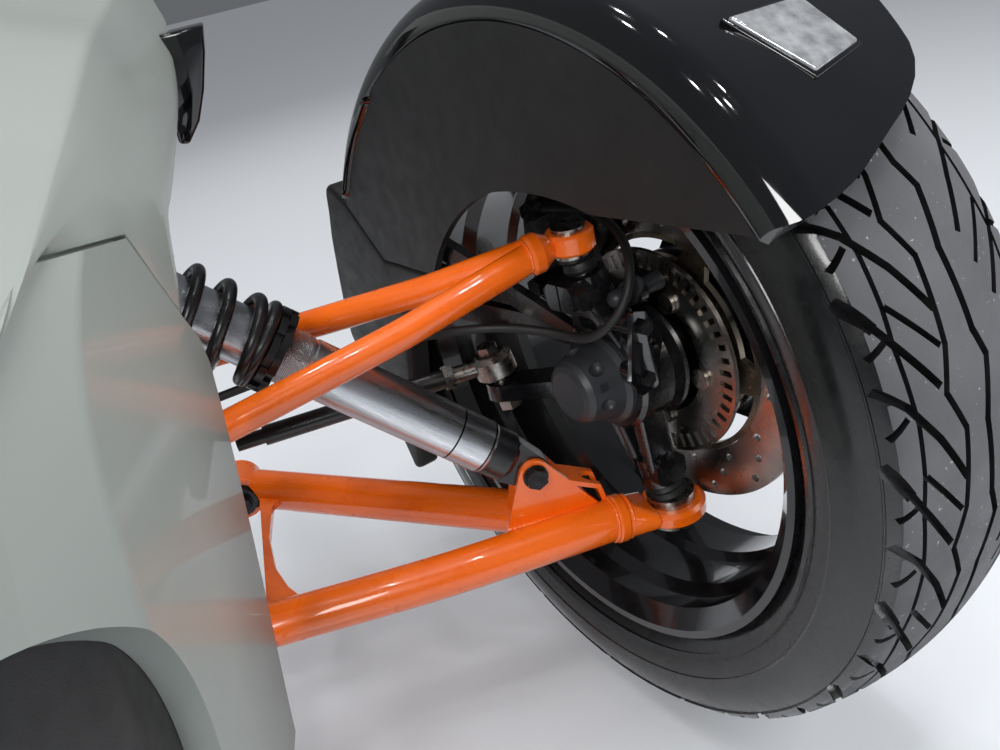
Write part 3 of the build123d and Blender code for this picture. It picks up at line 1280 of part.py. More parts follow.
ON_FRAME = {
    "frame_lower_rail": make_lower_rail,
    "frame_upper_rail": make_upper_rail,
    "frame_front_post": lambda: make_post(FRONT_POST_Y, FRONT_POST_Y),
    "frame_rear_post": lambda: make_post(REAR_POST_LOW_Y, REAR_POST_HIGH_Y),
    "shock_tower": make_shock_tower,
    "side_panel": make_side_panel,
    "nose_inner": make_nose_inner,
    "upper_panel": make_upper_panel,
    "panel_stays": make_panel_stays,
    "top_stay": make_top_stay,
    "lower_arm": make_lower_arm,
    "upper_arm": make_upper_arm,
    "lower_arm_bushes": lambda: make_bushes(
        LOWER_PIVOT_X, LOWER_PIVOT_Z, (LOWER_FRONT_Y, LOWER_REAR_Y), LOWER_BUSH_R, LOWER_BUSH_HALF),
    "upper_arm_bushes": lambda: make_bushes(
        UPPER_PIVOT_X, UPPER_PIVOT_Z, (UPPER_FRONT_Y, UPPER_REAR_Y), UPPER_BUSH_R, UPPER_BUSH_HALF),
    "lower_pivot_bolts": lambda: make_pivot_bolts(
        LOWER_PIVOT_X, LOWER_PIVOT_Z, (LOWER_FRONT_Y, LOWER_REAR_Y), LOWER_BUSH_HALF),
    "upper_pivot_bolts": lambda: make_pivot_bolts(
        UPPER_PIVOT_X, UPPER_PIVOT_Z, (UPPER_FRONT_Y, UPPER_REAR_Y), UPPER_BUSH_HALF),
    "lower_ball_housing": lambda: make_housing(
        LOWER_BALL, LOWER_STUD_BALL_R, LOWER_EYE_BORE_R, LOWER_HOUSING, LOWER_CLAMP[1]),
    "upper_ball_housing": lambda: make_housing(
        UPPER_BALL, UPPER_STUD_BALL_R, UPPER_BOSS_BORE_R, UPPER_HOUSING, UPPER_CLAMP[0]),
    "ball_boots": make_boots,
    "shock_body": make_shock_body,
    "shock_foot": make_shock_foot,
    "shock_collars": make_collars,
    "shock_spring": make_spring,
    "shock_top": make_shock_top,
    "shock_bolts": make_shock_bolts,
    "brake_hose": make_brake_hose,
    "hose_end": make_hose_end,
}

# Drawn straight ahead, then turned about the steering line
ON_KNUCKLE = {
    "knuckle": make_knuckle,
    "wheel_bearing": make_bearing,
    "hub_cap": make_hub_cap,
    "lower_ball_pin": lambda: make_ball_pin(LOWER_BALL, LOWER_STUD_BALL_R, LOWER_CLAMP[1] + 4),
    "upper_ball_pin": lambda: make_ball_pin(UPPER_BALL, UPPER_STUD_BALL_R, UPPER_CLAMP[0] - 4),
    "pinch_bolts": make_pinch_bolts,
    "sensor_plate": make_sensor_plate,
    "plate_screws": make_plate_screws,
    "wheel_sensor": make_sensor,
    "caliper": make_caliper,
    "brake_pads": make_pads,
    "caliper_bolts": make_caliper_bolts,
    "hose_banjo": make_banjo,
    "tie_rod_pin": make_tie_pin,
    "tie_boot": make_tie_boot,
    "fender_shell": make_fender_shell,
    "fender_inner": make_fender_inner,
    "fender_flap": make_fender_flap,
    "fender_bracket": make_fender_bracket,
    "fender_lamp": make_lamp,
}

ON_WHEEL = {
    "tyre": make_tyre,
    "rim": make_rim,
    "hub": make_hub,
    "wheel_studs": make_studs,
    "centre_cap": make_centre_cap,
    "tone_ring": make_tone_ring,
    "brake_disc": make_disc,
    "disc_carrier": make_carrier,
}


def main():
    os.makedirs("parts", exist_ok=True)
    to_origin = Location((-BOLT_FACE_X, -BOLT_MID_Y, -BOLT_MID_Z))
    rod_end, jam_nut, tie_bar = make_tie_rod()
    shapes = {"tie_rod_end": rod_end, "tie_rod_nut": jam_nut, "tie_rod": tie_bar}
    for name, make in ON_FRAME.items():
        shapes[name] = make()
    for name, make in (ON_KNUCKLE | ON_WHEEL).items():
        shapes[name] = steered(make())
    for name, shape in shapes.items():
        export_step(shape.moved(to_origin), "parts/" + name + ".step")


main()
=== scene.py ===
# %% [markdown]
# Front wheel corner of a motorized trike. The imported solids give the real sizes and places. This
# lesson gives them their looks: paint, rubber, cast and machined metal, and the pieces that are too
# fine for the solids, such as the tread, the weld beads and the thin edges of the panels.

# %% Load the frame
import bpy
import json
import math
from mathutils import Matrix, Vector


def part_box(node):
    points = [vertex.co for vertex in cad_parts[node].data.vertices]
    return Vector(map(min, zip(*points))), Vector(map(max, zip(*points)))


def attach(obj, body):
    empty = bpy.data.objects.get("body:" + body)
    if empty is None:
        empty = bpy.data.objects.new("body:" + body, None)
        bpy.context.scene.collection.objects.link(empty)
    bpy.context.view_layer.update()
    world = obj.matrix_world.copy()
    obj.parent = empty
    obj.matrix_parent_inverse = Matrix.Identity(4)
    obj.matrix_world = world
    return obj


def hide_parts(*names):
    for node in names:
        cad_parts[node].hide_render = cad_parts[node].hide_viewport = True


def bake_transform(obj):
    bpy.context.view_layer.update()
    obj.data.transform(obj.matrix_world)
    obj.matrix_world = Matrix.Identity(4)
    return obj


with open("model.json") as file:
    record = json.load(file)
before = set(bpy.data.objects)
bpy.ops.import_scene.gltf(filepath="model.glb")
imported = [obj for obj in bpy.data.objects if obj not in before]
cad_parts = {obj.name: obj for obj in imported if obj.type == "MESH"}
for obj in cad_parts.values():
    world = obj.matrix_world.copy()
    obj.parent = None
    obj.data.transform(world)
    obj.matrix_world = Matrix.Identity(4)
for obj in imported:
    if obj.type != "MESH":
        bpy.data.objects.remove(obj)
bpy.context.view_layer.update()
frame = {"nodes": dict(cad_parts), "record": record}
nodes = frame["nodes"]
record = frame["record"]
joints = {joint["name"]: joint for joint in record["behaviour"]["joints"]}
print(len(nodes), "nodes in the frame")

# %% [markdown]
# The photograph looks down at the corner from the front, a little above the fender. Its camera
# was found by fitting the circles of tyre, rim, disc and tone ring, so it is set by its place and
# by the three directions of its picture, not by aiming at a point.

# %% Camera
PICTURE = (1000, 750)
FOCAL_PIXELS = 998.6
SENSOR_MM = 36.0
CAMERA_AT = Vector((0.20644, -0.722457, 0.33623))
CAMERA_RIGHT = Vector((0.947684, -0.247516, -0.201572))
CAMERA_UP = Vector((0.291179, 0.411538, 0.863627))
CAMERA_AHEAD = Vector((0.130807, 0.877139, -0.462079))

camera_data = bpy.data.cameras.new("photo_camera")
camera_data.sensor_width = SENSOR_MM
camera_data.lens = FOCAL_PIXELS / PICTURE[0] * SENSOR_MM
camera_data.clip_start = 0.02
camera = bpy.data.objects.new("photo_camera", camera_data)
bpy.context.scene.collection.objects.link(camera)
turn = Matrix((CAMERA_RIGHT, CAMERA_UP, -CAMERA_AHEAD)).transposed()
camera.matrix_world = Matrix.Translation(CAMERA_AT) @ turn.to_4x4()
bpy.context.scene.camera = camera
bpy.context.scene.view_settings.view_transform = "Standard"
print("lens", round(camera_data.lens, 2), "mm")

# %% [markdown]
# Every finish is made of the same few parts: a colour that varies a little from place to place,
# a roughness that varies with it, and a fine bump. They read Object coordinates, in metres, so a
# grain has its real size on every piece.

# %% Nodes that finishes are made of
def new_material(name):
    """Empty node material with its shader, ready to be wired."""
    material = bpy.data.materials.new(name)
    material.use_nodes = True
    return material, material.node_tree, material.node_tree.nodes["Principled BSDF"]


def shader_values(shader, **values):
    """Set shader sockets by name, with spaces written as underscores."""
    for key, value in values.items():
        shader.inputs[key.replace("_", " ")].default_value = value


def object_place(tree, turn=(0, 0, 0), shift=(0, 0, 0)):
    """Object coordinates, turned and moved, as a socket."""
    coordinate = tree.nodes.new("ShaderNodeTexCoord")
    mapping = tree.nodes.new("ShaderNodeMapping")
    mapping.inputs["Rotation"].default_value = turn
    mapping.inputs["Location"].default_value = shift
    tree.links.new(coordinate.outputs["Object"], mapping.inputs["Vector"])
    return mapping.outputs["Vector"]


def noise(tree, place, scale, detail=3.0):
    """Noise value at a place."""
    texture = tree.nodes.new("ShaderNodeTexNoise")
    texture.inputs["Scale"].default_value = scale
    texture.inputs["Detail"].default_value = detail
    tree.links.new(place, texture.inputs["Vector"])
    return texture.outputs["Fac"]


def ranged(tree, value, low, high, start=0.3, stop=0.7):
    """Value stretched from start and stop to low and high."""
    node = tree.nodes.new("ShaderNodeMapRange")
    limits = {"From Min": start, "From Max": stop, "To Min": low, "To Max": high}
    for name, number in limits.items():
        node.inputs[name].default_value = number
    tree.links.new(value, node.inputs["Value"])
    return node.outputs["Result"]


def mixed(tree, share, first, second):
    """Colour between two by a share."""
    node = tree.nodes.new("ShaderNodeMix")
    node.data_type = "RGBA"
    node.inputs["A"].default_value = (*first, 1)
    node.inputs["B"].default_value = (*second, 1)
    tree.links.new(share, node.inputs["Factor"])
    return node.outputs["Result"]


def bumped(tree, shader, height, strength, depth):
    """Bump on the shader, its depth in metres. A second call stands on the first."""
    node = tree.nodes.new("ShaderNodeBump")
    node.inputs["Strength"].default_value = strength
    node.inputs["Distance"].default_value = depth
    tree.links.new(height, node.inputs["Height"])
    if shader.inputs["Normal"].is_linked:
        tree.links.new(shader.inputs["Normal"].links[0].from_socket, node.inputs["Normal"])
    tree.links.new(node.outputs["Normal"], shader.inputs["Normal"])


def math_node(tree, operation, *inputs):
    """Number node. Each input is a socket or a number."""
    node = tree.nodes.new("ShaderNodeMath")
    node.operation = operation
    for socket, value in zip(node.inputs, inputs):
        if isinstance(value, bpy.types.NodeSocket):
            tree.links.new(value, socket)
        else:
            socket.default_value = value
    return node.outputs["Value"]


def painted_over(tree, share, first, second):
    """Colour socket with a constant colour laid over it by a share."""
    node = tree.nodes.new("ShaderNodeMix")
    node.data_type = "RGBA"
    node.inputs["B"].default_value = second
    tree.links.new(share, node.inputs["Factor"])
    tree.links.new(first, node.inputs["A"])
    return node.outputs["Result"]

# %% [markdown]
# One function puts those nodes together, and every paint, plastic and plated metal is a call of
# it: two colours, a range of roughness, how fine the grain is, and how deep.

# %% A finish from its parts
def finish(name, color, second, rough, grain, depth, patch=25.0, **values):
    """Material with patches between two colours, a range of roughness and a fine grain."""
    print("finish", name)
    material, tree, shader = new_material(name)
    place = object_place(tree)
    patches = noise(tree, place, patch)
    patched = mixed(tree, ranged(tree, patches, 0, 1), color, second)
    tree.links.new(patched, shader.inputs["Base Color"])
    tree.links.new(ranged(tree, noise(tree, place, patch * 3), *rough), shader.inputs["Roughness"])
    bumped(tree, shader, noise(tree, place, grain, 2.0), 0.5, depth)
    shader_values(shader, **values)
    return material

# %% [markdown]
# The arms are powder coated orange under a clear lacquer. The body is a pale grey with a green
# cast, and the fender is piano black. Lacquer is a coat layer: the colour below may be soft, and
# the sharp reflection comes from the coat.

# %% Painted finishes
orange_paint = finish("orange_lacquer", (1.0, 0.165, 0.004), (0.97, 0.145, 0.003),
                      rough=(0.25, 0.38), grain=420, depth=0.00006, Coat_Weight=1.0,
                      Coat_Roughness=0.05, Specular_IOR_Level=0.5)
body_grey = finish("body_grey_paint", (0.285, 0.310, 0.290), (0.275, 0.300, 0.282),
                   rough=(0.34, 0.40), grain=200, depth=0.000004, patch=6.0, Coat_Weight=0.3,
                   Coat_Roughness=0.02, Specular_IOR_Level=0.12)
gloss_black = finish("piano_black", (0.0025, 0.0025, 0.0035), (0.004, 0.004, 0.005),
                     rough=(0.04, 0.10), grain=260, depth=0.00002, Coat_Weight=1.0,
                     Coat_Roughness=0.01)
wheel_black = finish("wheel_black_paint", (0.004, 0.004, 0.005), (0.008, 0.008, 0.009),
                     rough=(0.10, 0.22), grain=500, depth=0.00004, Coat_Weight=0.8,
                     Coat_Roughness=0.04)
frame_black = finish("frame_powder_coat", (0.010, 0.010, 0.011), (0.018, 0.018, 0.019),
                     rough=(0.32, 0.48), grain=900, depth=0.00012)
cast_black = finish("cast_black_paint", (0.004, 0.004, 0.005), (0.009, 0.009, 0.010),
                    rough=(0.16, 0.34), grain=520, depth=0.00022, Coat_Weight=0.6,
                    Coat_Roughness=0.12)
spring_black = finish("spring_powder_coat", (0.006, 0.006, 0.007), (0.012, 0.012, 0.013),
                      rough=(0.25, 0.40), grain=800, depth=0.00008, Coat_Weight=0.3,
                      Coat_Roughness=0.2)

# %% [markdown]
# Moulded plastic has a fine leather like grain that breaks its shine. The inner side of the
# fender is the matt one, and the hub cap is a little paler. Rubber and the bolts' black oxide are
# dull in the same way, with their own grain.

# %% Plastic and rubber finishes
matte_black = finish("grained_plastic", (0.010, 0.010, 0.010), (0.016, 0.015, 0.015),
                     rough=(0.42, 0.55), grain=1500, depth=0.00025, Specular_IOR_Level=0.45)
cap_black = finish("hub_cap_plastic", (0.022, 0.024, 0.028), (0.034, 0.036, 0.040),
                   rough=(0.34, 0.48), grain=1300, depth=0.00016)
bush_rubber = finish("moulded_rubber", (0.006, 0.006, 0.006), (0.012, 0.012, 0.012),
                     rough=(0.45, 0.65), grain=900, depth=0.00015)
bolt_black = finish("black_oxide", (0.010, 0.010, 0.012), (0.030, 0.028, 0.028), rough=(0.22, 0.42),
                    grain=700, depth=0.00008, patch=120.0, Metallic=0.6)

# %% [markdown]
# Steel parts are zinc plated. Plating goes cloudy and warm in patches, so it gets two colours and
# a wide range of roughness. The disc carrier has the yellow chromate that shows in the
# photograph. The lamp's lens has bright and dark patches in its colour, painted reflections that
# stand for the mirrors inside it.

# %% Bare metals
bare_steel = finish("zinc_plate", (0.46, 0.44, 0.41), (0.30, 0.27, 0.23), rough=(0.20, 0.42),
                    grain=600, depth=0.00010, patch=90.0, Metallic=1.0)
zinc_steel = finish("yellow_chromate", (0.34, 0.29, 0.21), (0.24, 0.20, 0.16), rough=(0.25, 0.45),
                    grain=500, depth=0.00010, patch=60.0, Metallic=1.0)
# The lens's bright and dark colour patches are painted reflections of the mirrors inside the lamp.
lamp_lens = finish("lamp_lens", (0.74, 0.76, 0.78), (0.36, 0.37, 0.39), rough=(0.04, 0.12),
                   grain=110, depth=0.0006, patch=110.0, Metallic=0.6, Coat_Weight=1.0,
                   Coat_Roughness=0.02)

# %% [markdown]
# The record gives every solid a material slot, and each slot gets one finish here. The slot of
# the tyre is left out, because its rubber comes with its tread.

# %% Give each slot its finish
FINISHES = {
    "orange_paint": orange_paint, "frame_black": frame_black, "body_grey": body_grey,
    "gloss_black": gloss_black, "matte_black": matte_black, "wheel_black": wheel_black,
    "cast_black": cast_black, "cap_black": cap_black, "spring_black": spring_black,
    "bare_steel": bare_steel, "zinc_steel": zinc_steel, "bolt_black": bolt_black,
    "bush_rubber": bush_rubber, "lamp": lamp_lens,
}
slot_of = {row["node"]: row["material_slot"] for row in record["subparts"]}


def dress(name, material):
    """Give a node its material."""
    nodes[name].data.materials.clear()
    nodes[name].data.materials.append(material)


for name, slot_name in slot_of.items():
    if slot_name in FINISHES:
        dress(name, FINISHES[slot_name])
print(sorted(set(slot_of.values()) - set(FINISHES)), "still to be made")

# %% [markdown]
# The solids were drawn about the centre of the wheel when it points straight ahead, in
# millimetres, and then turned about the kingpin to the angle in the photograph. Two matrices
# repeat that, so that new pieces can be drawn about the wheel too.

# %% Places of the vehicle and of the wheel
MM = 0.001
STEER_AT_REST = 22.0
VEHICLE = Matrix.Translation(Vector((420, -75, -30)) * MM)
kingpin_at = Vector(joints["steer"]["pos_m"])
kingpin_up = Vector(joints["steer"]["axis"])
steer_turn = Matrix.Rotation(math.radians(STEER_AT_REST), 4, kingpin_up)
STEERED = (Matrix.Translation(kingpin_at) @ steer_turn @ Matrix.Translation(-kingpin_at)
           @ VEHICLE)
wheel_at = Vector(joints["wheel_spin"]["pos_m"])
print("wheel centre is off by", round((STEERED @ Vector() - wheel_at).length / MM, 3), "mm")


def on_vehicle(x, y, z):
    """Point of the still part, given in millimetres from the wheel centre."""
    return VEHICLE @ (Vector((x, y, z)) * MM)

# %% [markdown]
# Every new piece ends as a plain mesh at the origin, unturned and unscaled, so that it can ride on
# a body of the frame and stand for the solids it replaces.

# %% Making and handing over a piece
def select_only(*chosen):
    """Deselect everything, then select these objects."""
    bpy.ops.object.select_all(action="DESELECT")
    for piece in chosen:
        piece.select_set(True)
    bpy.context.view_layer.objects.active = chosen[0]


def settle(piece, place=None):
    """Put an object's place into its mesh, so that it sits at the origin, unturned and unscaled."""
    bpy.context.view_layer.update()
    whole = piece.matrix_world.copy()
    piece.matrix_world = Matrix.Identity(4)
    piece.data.transform(place @ whole if place else whole)
    piece.data.update()
    return piece


def join(name, pieces):
    """Make several mesh objects one."""
    select_only(*pieces)
    bpy.ops.object.join()
    piece = bpy.context.object
    piece.name = name
    piece.data.name = name
    return piece


def mesh_piece(name, points, faces):
    """New object from points and faces, selected alone."""
    mesh = bpy.data.meshes.new(name)
    mesh.from_pydata(points, [], faces)
    piece = bpy.data.objects.new(name, mesh)
    bpy.context.scene.collection.objects.link(piece)
    select_only(piece)
    return piece


def soften(piece, angle):
    """Smooth shading that keeps edges sharper than the angle in degrees."""
    select_only(piece)
    bpy.ops.object.shade_smooth_by_angle(angle=math.radians(angle))


def hand_over(piece, body, slot_name, *replaced):
    """Let a finished piece ride on its body, in place of the nodes it stands for."""
    if replaced:
        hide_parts(*replaced)
    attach(piece, body)
    print(piece.name, len(piece.data.vertices), "points")

# %% [markdown]
# Sheets and moulded shells are made the way a sheet metal worker would: the bare surface first,
# then its wall, then its rounded edges, and cuts by another piece last.

# %% Shaping a piece
def face_outwards(piece):
    """Turn the faces of a closed piece outwards."""
    select_only(piece)
    bpy.ops.object.mode_set(mode="EDIT")
    bpy.ops.mesh.select_all(action="SELECT")
    bpy.ops.mesh.normals_make_consistent(inside=False)
    bpy.ops.object.mode_set(mode="OBJECT")


def delete_faces(piece, indices, kind):
    """Delete the faces with these numbers."""
    select_only(piece)
    bpy.ops.object.mode_set(mode="EDIT")
    bpy.ops.mesh.select_all(action="DESELECT")
    bpy.ops.object.mode_set(mode="OBJECT")
    for index in indices:
        piece.data.polygons[index].select = True
    bpy.ops.object.mode_set(mode="EDIT")
    bpy.ops.mesh.select_mode(type="FACE")
    bpy.ops.mesh.delete(type=kind)
    bpy.ops.object.mode_set(mode="OBJECT")


def add_wall(piece, thick):
    """Give a sheet its thickness, to the inside of its faces."""
    wall = piece.modifiers.new("wall", "SOLIDIFY")
    wall.thickness = thick
    wall.offset = -1
    bpy.ops.object.modifier_apply(modifier=wall.name)


def round_edges(piece, width, segments, sharper_than):
    """Round the edges that are sharper than an angle in degrees."""
    edge = piece.modifiers.new("edge", "BEVEL")
    edge.width = width
    edge.segments = segments
    edge.limit_method = "ANGLE"
    edge.angle_limit = math.radians(sharper_than)
    bpy.ops.object.modifier_apply(modifier=edge.name)


def cut_away(piece, cutter, crossing=False):
    """Cut one piece out of another, and drop the cutter. Its own parts may cross each other."""
    cut = piece.modifiers.new("cut", "BOOLEAN")
    cut.operation = "DIFFERENCE"
    cut.solver = "EXACT"
    cut.use_self = crossing
    cut.object = cutter
    select_only(piece)
    bpy.ops.object.modifier_apply(modifier=cut.name)
    bpy.data.objects.remove(cutter)

# %% [markdown]
# Brake disc, tone ring and hub are turned parts. A lathe leaves rings about the axle, so their
# finish reads the place from the axle: the mapping takes each point back to the wheel's own axes.

# %% Turned steel
def axle_place(tree):
    """Place in the wheel's own axes, in metres."""
    back = STEERED.inverted()
    return object_place(tree, turn=back.to_euler(), shift=back.translation)


def lathe_rings(tree, scale):
    """Rings about the axle."""
    wave = tree.nodes.new("ShaderNodeTexWave")
    wave.wave_type = "RINGS"
    wave.rings_direction = "X"
    wave.inputs["Scale"].default_value = scale
    wave.inputs["Distortion"].default_value = 0.6
    tree.links.new(axle_place(tree), wave.inputs["Vector"])
    return wave.outputs["Fac"]


def turned_metal(name, color, second, rough, scale):
    """Steel with lathe rings."""
    material, tree, shader = new_material(name)
    patches = noise(tree, object_place(tree), 40)
    patched = mixed(tree, ranged(tree, patches, 0, 1), color, second)
    tree.links.new(patched, shader.inputs["Base Color"])
    tree.links.new(ranged(tree, patches, *rough), shader.inputs["Roughness"])
    bumped(tree, shader, lathe_rings(tree, scale), 0.35, 0.00004)
    shader_values(shader, Metallic=1.0)
    return material


dress("brake_disc", turned_metal("ground_disc", (0.50, 0.46, 0.43), (0.38, 0.35, 0.33),
                                 rough=(0.22, 0.34), scale=220))
dress("tone_ring", turned_metal("tone_ring_steel", (0.50, 0.48, 0.45), (0.34, 0.31, 0.28),
                                rough=(0.20, 0.36), scale=160))
dress("hub", turned_metal("hub_steel", (0.030, 0.030, 0.032), (0.016, 0.016, 0.017),
                          rough=(0.25, 0.45), scale=120))
print("turned finish on brake_disc, tone_ring and hub")

# %% [markdown]
# The damper's tube is anodised aluminium, with streaks from drawing along it. Fine thread shows
# just below the two collars that set the spring, and two thin dark rings lie near its foot.
# Modelled threads would cost many faces, so the thread is a band wave in the bump, from one
# distance along the tube to another, and the rings are two bands of dark colour.

# %% Anodised tube with its thread
SHOCK_LOW = on_vehicle(-109.5, 3.0, -63.0)
SHOCK_TOP = on_vehicle(-369.5, 33.0, 182.0)
shock_axis = (SHOCK_TOP - SHOCK_LOW).normalized()
THREAD_FROM = 196 * MM
THREAD_TO = 217 * MM
THREAD_PITCH = 1.3 * MM
THREAD_DEPTH = 0.6 * MM
RINGS_AT = (44 * MM, 71 * MM)
RING_HALF = 0.7 * MM
RING_COLOR = (0.02, 0.02, 0.022, 1)
WAVE_UNIT = 2 * math.pi / 20


def shock_metal():
    """Anodised aluminium with its thread and rings."""
    material, tree, shader = new_material("anodised_tube")
    to_x = shock_axis.rotation_difference(Vector((1, 0, 0))).to_matrix()
    place = object_place(tree, turn=to_x.to_euler(), shift=-(to_x @ SHOCK_LOW))
    streak = tree.nodes.new("ShaderNodeMapping")
    streak.inputs["Scale"].default_value = (0.05, 1, 1)
    tree.links.new(place, streak.inputs["Vector"])
    streaks = noise(tree, streak.outputs["Vector"], 900)
    color = mixed(tree, ranged(tree, streaks, 0, 1), (0.66, 0.67, 0.70), (0.58, 0.59, 0.62))
    tree.links.new(ranged(tree, streaks, 0.26, 0.36), shader.inputs["Roughness"])
    along = tree.nodes.new("ShaderNodeSeparateXYZ")
    tree.links.new(place, along.inputs["Vector"])
    for ring_at in RINGS_AT:
        near = math_node(tree, "COMPARE", along.outputs["X"], ring_at, RING_HALF)
        color = painted_over(tree, near, color, RING_COLOR)
    tree.links.new(color, shader.inputs["Base Color"])
    wave = tree.nodes.new("ShaderNodeTexWave")
    wave.inputs["Scale"].default_value = WAVE_UNIT / THREAD_PITCH
    tree.links.new(place, wave.inputs["Vector"])
    inside = ranged(tree, along.outputs["X"], 0, 1, THREAD_FROM, THREAD_FROM + MM)
    before = ranged(tree, along.outputs["X"], 1, 0, THREAD_TO, THREAD_TO + MM)
    threaded = math_node(tree, "MULTIPLY", inside, before)
    height = math_node(tree, "MULTIPLY", wave.outputs["Fac"], threaded)
    bumped(tree, shader, height, 0.8, THREAD_DEPTH)
    shader_values(shader, Metallic=1.0)
    return material


for name in ("shock_body", "shock_top"):
    dress(name, shock_metal())
print("thread from", round(THREAD_FROM / MM), "to", round(THREAD_TO / MM), "mm above the foot")

# %% [markdown]
# The tyre's tread is one pattern that repeats every twenty degrees. So one slice of the tyre is
# made, the grooves are cut out of it with thin blocks, and the slice is copied round the axle. Its
# section is a flat curve over the tread, a round sidewall with three raised rings, and a plain
# bead and liner inside.

# %% Section of the tyre
TYRE_R = 281.0
TREAD_HALF = 63.0
CROWN_DROP = 9.0
SIDE_MID_R = 237.5
SIDE_ROUND = 49.8
SIDE_X = 27.2
# Angle, half width in degrees, height of each ring
SIDE_RINGS = ((31, 1.0, 1.2), (-6, 1.2, 0.8), (-25, 3.0, 2.2))


def crown_r(x):
    """Radius of the tread at a distance across."""
    return TYRE_R - CROWN_DROP * (x / TREAD_HALF) ** 2


def side_bump(angle):
    """Raised rings of the sidewall, by the angle down its curve."""
    return sum(high for at, half, high in SIDE_RINGS if abs(angle - at) <= half)


SIDE_ANGLES = (42, 38, 34, 32.1, 31.5, 30.5, 29.9, 26, 20, 14, 8, 2, -4.7, -5.3, -6.7, -7.3,
               -12, -18, -21.9, -22.4, -27.6, -28.1, -34, -40, -44)
BEAD_AND_LINER = [(62.8, 191.2), (49, 191.2), (64, 222), (66, 248), (54, 262), (30, 268), (0, 270)]
half_section = [(x, crown_r(x)) for x in range(0, 61, 4)]
for angle in SIDE_ANGLES:
    r = SIDE_ROUND + side_bump(angle)
    half_section.append((SIDE_X + r * math.cos(math.radians(angle)),
                         SIDE_MID_R + r * math.sin(math.radians(angle))))
half_section += BEAD_AND_LINER
tyre_section = half_section + [(-x, r) for x, r in half_section[-2:0:-1]]
print(len(tyre_section), "points round the section")

# %% [markdown]
# One slice is the section repeated in fourteen small steps round the axle, with both ends closed.
# A closed piece is needed for the cut: the grooves then get walls and a floor.

# %% One slice
SLICE_DEGREES = 20.0
SLICE_STEPS = 14


def tyre_point(angle, x, r):
    """Point about the axle: the angle rises from the front of the wheel."""
    a = math.radians(angle)
    return Vector((x, -r * math.cos(a), r * math.sin(a))) * MM


def slice_piece():
    """Slice of the tyre, closed at both ends."""
    count = len(tyre_section)
    points = [tyre_point(step * SLICE_DEGREES / SLICE_STEPS, x, r)
              for step in range(SLICE_STEPS + 1) for x, r in tyre_section]
    faces = []
    for step in range(SLICE_STEPS):
        for k in range(count):
            a, b = step * count + k, step * count + (k + 1) % count
            faces.append((a, a + count, b + count, b))
    faces.append(tuple(range(count)))
    faces.append(tuple(reversed(range(SLICE_STEPS * count, (SLICE_STEPS + 1) * count))))
    piece = mesh_piece("tyre_slice", points, faces)
    face_outwards(piece)
    return piece


tyre_slice = slice_piece()
print("plain slice", len(tyre_slice.data.polygons), "faces")

# %% [markdown]
# Grooves are given as they run over the tread: angle round the axle and distance across, with a
# width. Two wavy grooves run right round on the inboard half, slanting ones reach from the
# shoulder to them, and short ones stand between. The other half mirrors all but the first, moved
# along a little, and has a wavy one near the middle instead. The blocks also stand one slice
# before and after, so that a groove that crosses the edge meets the next slice.

# %% Grooves
GROOVES = [
    (4.0, [(11.3, -28), (6.4, -18), (-3.6, -20.8), (-8.7, -28)]),
    (3.0, [(11.0, -50), (9.5, -49.4), (3.1, -50.3), (-1.3, -52), (-9.0, -50)]),
    (4.6, [(14.8, -68), (11.8, -54), (9.9, -48), (6.6, -37), (0.7, -21)]),
    (6.5, [(5.5, -70), (1.6, -60)]),
    (4.6, [(2.4, -62), (-1.0, -52), (-7.4, -31.5)]),
    (3.6, [(2.9, -48.5), (-3.3, -24.7)]),
    (4.0, [(10.5, -56), (9.0, -66)]),
    (4.0, [(-0.5, -57), (-1.5, -66)]),
]
FAR_SHIFT = 6.0
GROOVE_DEPTH = 7.0
BLOCK_OVERLAP = 0.55
BLOCK_LEAN = 0.25
PAST_SLICE = 3.0
CENTER_GROOVE = (5.0, [(13, 8), (6, 0), (-3.6, 2), (-7, 8)])


def groove_block(start, end, wide, turned_by):
    """Thin block sunk into the tread from one point of a groove to the next."""
    p = tyre_point(start[0] + turned_by, start[1], crown_r(start[1]))
    q = tyre_point(end[0] + turned_by, end[1], crown_r(end[1]))
    out = (p + q) * 0.5
    out.x *= BLOCK_LEAN
    along = (q - p).normalized()
    up = (out - along * out.dot(along)).normalized()
    side = up.cross(along)
    bpy.ops.mesh.primitive_cube_add(size=1.0)
    block = bpy.context.object
    long = (q - p).length + BLOCK_OVERLAP * wide * MM
    size = Matrix.Diagonal((long, wide * MM, 2 * GROOVE_DEPTH * MM, 1))
    axes = Matrix((along, side, up)).transposed().to_4x4()
    block.matrix_world = Matrix.Translation((p + q) * 0.5) @ axes @ size
    return block


def groove_blocks():
    """All blocks that touch one slice."""
    lines = GROOVES + [(wide, [(a + FAR_SHIFT, -x) for a, x in line]) for wide, line in GROOVES[1:]]
    lines.append(CENTER_GROOVE)
    blocks = []
    for turned_by in (-SLICE_DEGREES, 0, SLICE_DEGREES, 2 * SLICE_DEGREES):
        for wide, line in lines:
            for start, end in zip(line, line[1:]):
                low, high = sorted((start[0] + turned_by, end[0] + turned_by))
                if high > -PAST_SLICE and low < SLICE_DEGREES + PAST_SLICE:
                    blocks.append(groove_block(start, end, wide, turned_by))
    return settle(join("groove_blocks", blocks))


cut_away(tyre_slice, groove_blocks(), crossing=True)
print("cut slice", len(tyre_slice.data.polygons), "faces")

# %% [markdown]
# Three kinds of rubber show: the tread is dull and dusty grey, the sidewall shines with
# dressing, and the grooves are black. The faces are told apart by where they lie and which way
# they face.

